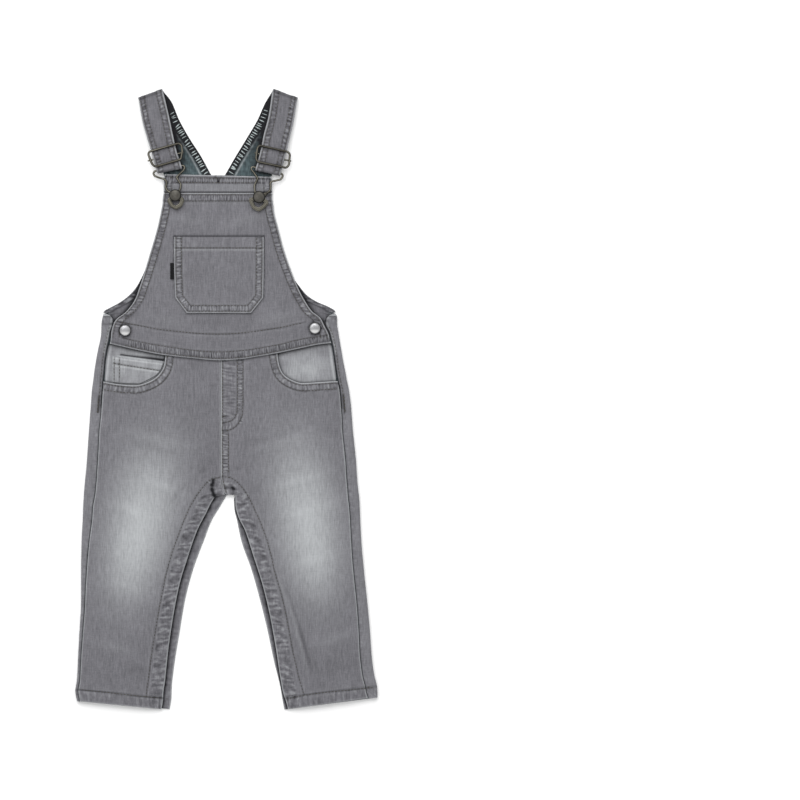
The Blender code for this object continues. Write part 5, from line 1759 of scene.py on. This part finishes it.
def underSewing(finish):   # the same sewing on the side that rests on the floor
    lines = backSewing["right"] + backSewing["left"]
    for side in (-1, 1):
        knots, columns = backRows(side)
        at = np.linspace(knots[int(np.argmin(columns[3] > 0))] + 6, knots[-1] - 9, 60)
        outerLevel, _, outer = blended(knots, columns, at)[:3]
        for offset in backSewing["armhole"]:
            lines.append(np.column_stack([outer - side * offset, outerLevel]))
        ends = (centreBack + side * 3.0, outer[-1] - side * 2.0)
        for level in backSewing["topLevels"]:
            lines.append(np.array([(ends[0], level), (ends[1], level)]))
    stitchedArea("thread_back", ["back_right", "back_left"], lines, finish, "back_right", True)
    pocket = seatPocket
    for side, hand in sideName.items():
        name = "back_pocket_" + hand
        rows = [seatOutline(side, inset) for inset in pocket["stitched"]]
        for drop in (pocket["hem"], pocket["top"] - pocket["bandHigh"], pocket["top"] - pocket["bandLow"]):
            tilt = pocket["tilt"] if drop == pocket["hem"] else 0.0
            rows.append([(centreBack + side * (pocket["near"] + 2), pocket["top"] - drop - tilt),
                         (centreBack + side * (pocket["far"] - 2), pocket["top"] - drop)])
        stitchedArea("thread_" + name, [name], rows, finish, name, True)


# finishes

def newFinish(name):
    finish = bpy.data.materials.new(name)
    finish.use_nodes = True
    shader = next(node for node in finish.node_tree.nodes if node.type == "BSDF_PRINCIPLED")
    return finish, finish.node_tree, shader


def feed(node, inputs):   # numbers, colours or what other nodes give
    for key, value in inputs.items():
        socket = node.inputs[key]
        if isinstance(value, bpy.types.NodeSocket):
            node.id_data.links.new(value, socket)
        elif socket.type == "RGBA":
            socket.default_value = (*value, 1.0)
        else:
            socket.default_value = value


def addNode(tree, kind, inputs, **settings):
    node = tree.nodes.new("ShaderNode" + kind)
    for key, value in settings.items():
        setattr(node, key, value)
    feed(node, inputs)
    return node


def mathNode(tree, operation, *values, clamp=False):
    return addNode(tree, "Math", dict(enumerate(values)), operation=operation, use_clamp=clamp).outputs[0]


def times(tree, first, second, clamp=False):
    return mathNode(tree, "MULTIPLY", first, second, clamp=clamp)


def plus(tree, first, second):
    return mathNode(tree, "ADD", first, second)


def mixNode(tree, share, first, second):
    return addNode(tree, "Mix", {0: share, 6: first, 7: second}, data_type="RGBA").outputs[2]


def tinted(tree, colour, share):   # a colour made lighter or darker
    return addNode(tree, "VectorMath", {0: colour, "Scale": share}, operation="SCALE").outputs[0]


def attributeOf(tree, name):
    return addNode(tree, "Attribute", {}, attribute_type="GEOMETRY", attribute_name=name).outputs["Fac"]


def objectSpot(tree):
    return addNode(tree, "TexCoord", {}).outputs["Object"]


def noiseOf(tree, spot, scale, detail=2.0, rough=0.5, stretch=(1.0, 1.0, 1.0)):
    stretched = addNode(tree, "Mapping", {"Vector": spot, "Scale": stretch}).outputs[0]
    inputs = {"Vector": stretched, "Scale": scale, "Detail": detail, "Roughness": rough}
    return addNode(tree, "TexNoise", inputs).outputs["Fac"]


def scaled(tree, value, low, high, newLow, newHigh):
    inputs = {"Value": value, "From Min": low, "From Max": high, "To Min": newLow, "To Max": newHigh}
    return addNode(tree, "MapRange", inputs, clamp=True).outputs[0]


def roughened(tree, shader, height, strength, distance):
    bumped = addNode(tree, "Bump", {"Height": height, "Strength": strength, "Distance": distance})
    feed(shader, {"Normal": bumped.outputs[0]})


# colours of the cloth, as linear light
denimTones = {
    "base": (0.137, 0.135, 0.148),
    "streakDark": 0.78,
    "streakPale": 1.24,
    "ribPale": 0.24,
    "ribDark": 0.40,
    "worn": (0.515, 0.535, 0.545),
    "shadow": (0.012, 0.012, 0.014),
    "wrongSide": (0.046, 0.066, 0.072),
    "wrongFleck": (0.11, 0.148, 0.158),
    "ribDrift": 110.0,       # how fast the ribs change along a band
    "twillPitch": 390.0,
    "twillLean": -62,
}


def ripples(tree, spot, tones):   # uneven ridges across a sewn band, counted by the run attribute
    count = times(tree, attributeOf(tree, "run"), runScale)
    apart = addNode(tree, "SeparateXYZ", {0: spot}).outputs
    across, up = [times(tree, apart[i], tones["ribDrift"]) for i in (0, 1)]
    joint = addNode(tree, "CombineXYZ", {0: count, 1: across, 2: up}).outputs[0]
    drift = noiseOf(tree, joint, 0.5, 1.0)
    phase = times(tree, plus(tree, count, times(tree, drift, 2.6)), 6.283)
    even = mathNode(tree, "SINE", phase)
    rough = scaled(tree, noiseOf(tree, joint, 1.7, 2.0), 0.3, 0.7, -1.4, 0.9)
    return plus(tree, times(tree, even, 0.55), times(tree, rough, 0.75))


def denimFinish(name, tones):
    finish, tree, shader = newFinish(name)
    spot = objectSpot(tree)
    streak = noiseOf(tree, spot, 1150.0, 3.0, 0.6, (1.0, 0.11, 0.4))
    wide = noiseOf(tree, spot, 420.0, 3.0, 0.6, (1.0, 0.10, 0.4))
    slub = noiseOf(tree, spot, 1000.0, 2.0, 0.5, (0.16, 1.0, 0.4))
    cloud = noiseOf(tree, spot, 38.0, 4.0, 0.6)
    grain = plus(tree, plus(tree, times(tree, streak, 0.6), times(tree, wide, 0.2)), times(tree, slub, 0.2))
    tone = scaled(tree, grain, 0.36, 0.64, tones["streakDark"], tones["streakPale"])
    tone = times(tree, tone, scaled(tree, cloud, 0.3, 0.7, 0.93, 1.07))
    tone = times(tree, tone, scaled(tree, noiseOf(tree, spot, 900.0, 2.0), 0.3, 0.7, 0.92, 1.08))
    ridges = times(tree, attributeOf(tree, "rib"), ripples(tree, spot, tones))
    raised = times(tree, mathNode(tree, "MAXIMUM", ridges, 0.0), tones["ribPale"])
    pale = plus(tree, attributeOf(tree, "pale"), raised)
    patchy = scaled(tree, plus(tree, grain, times(tree, pale, 0.10)), 0.36, 0.66, 0.75, 1.22)
    colour = mixNode(tree, times(tree, pale, patchy, True), tinted(tree, tones["base"], tone), tones["worn"])
    # painted shade in the troughs between the ridges
    sunk = times(tree, mathNode(tree, "MINIMUM", ridges, 0.0), -tones["ribDark"])
    dark = plus(tree, attributeOf(tree, "dark"), sunk)
    inside = mixNode(tree, scaled(tree, grain, 0.42, 0.66, 0.0, 1.0), tones["wrongSide"], tones["wrongFleck"])
    inside = mixNode(tree, times(tree, pale, 0.6, True), inside, tones["worn"])
    colour = mixNode(tree, attributeOf(tree, "wrong"), colour, inside)
    colour = mixNode(tree, times(tree, dark, 1.0, True), colour, tones["shadow"])
    feed(shader, {"Base Color": colour, "Roughness": 0.92, "Sheen Weight": 0.06, "Sheen Roughness": 0.5,
                  "Specular IOR Level": 0.1})
    lean = (0.0, 0.0, math.radians(tones["twillLean"]))
    turned = addNode(tree, "Mapping", {"Vector": spot, "Rotation": lean, "Scale": (tones["twillPitch"],) * 3})
    inputs = {"Vector": turned.outputs[0], "Scale": 1.0, "Distortion": 0.6, "Detail": 1.0}
    twill = addNode(tree, "TexWave", inputs, wave_type="BANDS", bands_direction="X")
    weave = plus(tree, times(tree, twill.outputs["Fac"], 0.45), times(tree, streak, 0.9))
    roughened(tree, shader, plus(tree, weave, times(tree, ridges, 0.8)), 0.55, 0.00025)
    return finish


def tapeFinish(name, colour):
    finish, tree, shader = newFinish(name)
    ribs = noiseOf(tree, objectSpot(tree), 1500.0, 1.0, 0.5, (0.3, 1.0, 1.0))
    shade = scaled(tree, ribs, 0.35, 0.65, 0.6, 1.5)
    feed(shader, {"Base Color": tinted(tree, colour, shade), "Roughness": 0.85, "Specular IOR Level": 0.2})
    roughened(tree, shader, ribs, 0.5, 0.0002)
    return finish


def threadFinish(name, colour):
    finish, tree, shader = newFinish(name)
    shade = scaled(tree, noiseOf(tree, objectSpot(tree), 700.0, 2.0), 0.3, 0.7, 0.65, 1.4)
    feed(shader, {"Base Color": tinted(tree, colour, shade), "Roughness": 0.7})
    return finish


def metalFinish(name, colour, tarnish, rubbed_and_highlight, roughness):
    finish, tree, shader = newFinish(name)
    share = scaled(tree, noiseOf(tree, objectSpot(tree), 260.0, 3.0, 0.6), 0.25, 0.75, 0.0, 1.0)
    tone = mixNode(tree, share, tarnish, colour)
    # rubbed wear on the wires, and painted highlight on the wires and side buttons
    tone = mixNode(tree, attributeOf(tree, "rubbed_and_highlight"), tone, rubbed_and_highlight)
    # painted shade round a button's rim
    tone = mixNode(tree, attributeOf(tree, "rim_shade"), tone, (0.02, 0.02, 0.02))
    feed(shader, {"Base Color": tone, "Metallic": 1.0,
                  "Roughness": scaled(tree, share, 0.0, 1.0, roughness + 0.18, roughness)})
    return finish


def floorFinish(name, colour):
    finish, _, shader = newFinish(name)
    feed(shader, {"Base Color": colour, "Roughness": 0.9})
    return finish


# floor, light and camera
studio = {
    "lens": 200.0,
    "sensor": 36.0,
    "frameWidth": 0.76,
    "middleX": 164.8,
    "middleY": -0.75,
    "sky": 0.86,
    "keyPower": 48.0,
    "keySize": 2.4,
    "keyPlace": (-0.45, 1.5, 1.35),
}


def addStudio():
    distance = studio["frameWidth"] * studio["lens"] / studio["sensor"]
    camera = bpy.data.cameras.new("camera")
    camera.lens = studio["lens"]
    camera.sensor_width = studio["sensor"]
    camera.clip_end = 20.0
    viewer = linked("camera", camera)
    viewer.location = (studio["middleX"] * mm, studio["middleY"] * mm, distance)
    bpy.context.scene.camera = viewer
    ground = bmesh.new()
    bmesh.ops.create_grid(ground, x_segments=1, y_segments=1, size=6.0)
    bmesh.ops.translate(ground, verts=ground.verts[:], vec=(0, 0, -0.0002))
    floor = linked("floor", meshFrom(ground, "floor"))
    floor.data.materials.append(floorFinish("floor_white", (0.93, 0.93, 0.93)))
    world = bpy.data.worlds.new("studio")
    world.use_nodes = True
    world.node_tree.nodes["Background"].inputs["Color"].default_value = (1.0, 1.0, 1.0, 1.0)
    world.node_tree.nodes["Background"].inputs["Strength"].default_value = studio["sky"]
    bpy.context.scene.world = world
    light = bpy.data.lights.new("key", "AREA")
    light.energy = studio["keyPower"]
    light.size = studio["keySize"]
    lamp = linked("key", light)
    lamp.location = studio["keyPlace"]
    aim = Vector((0.0, 0.0, 0.0)) - Vector(studio["keyPlace"])
    lamp.rotation_euler = aim.to_track_quat("-Z", "Y").to_euler()
    bpy.context.scene.view_settings.view_transform = "Standard"


def addCloth(finishes):
    denim, tape = finishes["denim"], finishes["tape"]
    for side, hand in sideName.items():
        backPanel("back_" + hand, side, denim)
    print("backs done")
    for side, hand in sideName.items():
        seatPocketPart("back_pocket_" + hand, side, denim)
    patchPart("pocket_patch", tape)
    for side, hand in sideName.items():
        frontPanel("front_" + hand, side, denim)
    print("fronts done")
    for side, hand in sideName.items():
        smallPiece("facing_" + hand, facings[hand], denim, layers["thinWall"], facingHeight,
                   facingDetail(side), True)
    smallPiece("coin_pocket", coinPocket["rows"], denim, layers["thinWall"], onFacing, coinDetail,
               True, 1.0)
    bibPart("bib", False, denim)
    bibPart("bib_yoke", True, denim)
    smallPiece("bib_pocket", bibPocket["rows"], denim, wall, onBib, bibPocketDetail,
               False, 1.3, sharpPoints, bandEdge)
    tabPart("loop_tab", tape)
    print("bib done")
    for side, hand in sideName.items():
        strapPart("strap_" + hand, side, denim)
    print("straps done")


# metal: its colour, tarnished, rubbed and painted highlight, and how rough it is
metals = {
    "wire": ((0.038, 0.035, 0.029), (0.016, 0.015, 0.013), (0.30, 0.285, 0.235), 0.38),
    "cap": ((0.125, 0.119, 0.106), (0.078, 0.074, 0.066), (0.30, 0.28, 0.25), 0.60),
    "bright": ((0.38, 0.38, 0.39), (0.25, 0.25, 0.26), (0.88, 0.88, 0.87), 0.32),
}


def main():
    finishes = {
        "denim": denimFinish("denim_grey", denimTones),
        "tape": tapeFinish("tape_black", (0.004, 0.004, 0.005)),
        "thread": threadFinish("thread_olive", (0.044, 0.039, 0.029)),
        "overlock": threadFinish("thread_pale", (0.27, 0.31, 0.31)),
    }
    for key, name in (("wire", "wire_pewter"), ("cap", "cap_pewter"), ("bright", "cap_bright")):
        finishes[key] = metalFinish(name, *metals[key])
    addStudio()
    addCloth(finishes)
    addHardware(finishes)
    print("hardware done")
    addSewing(finishes["thread"], finishes["overlock"])


main()
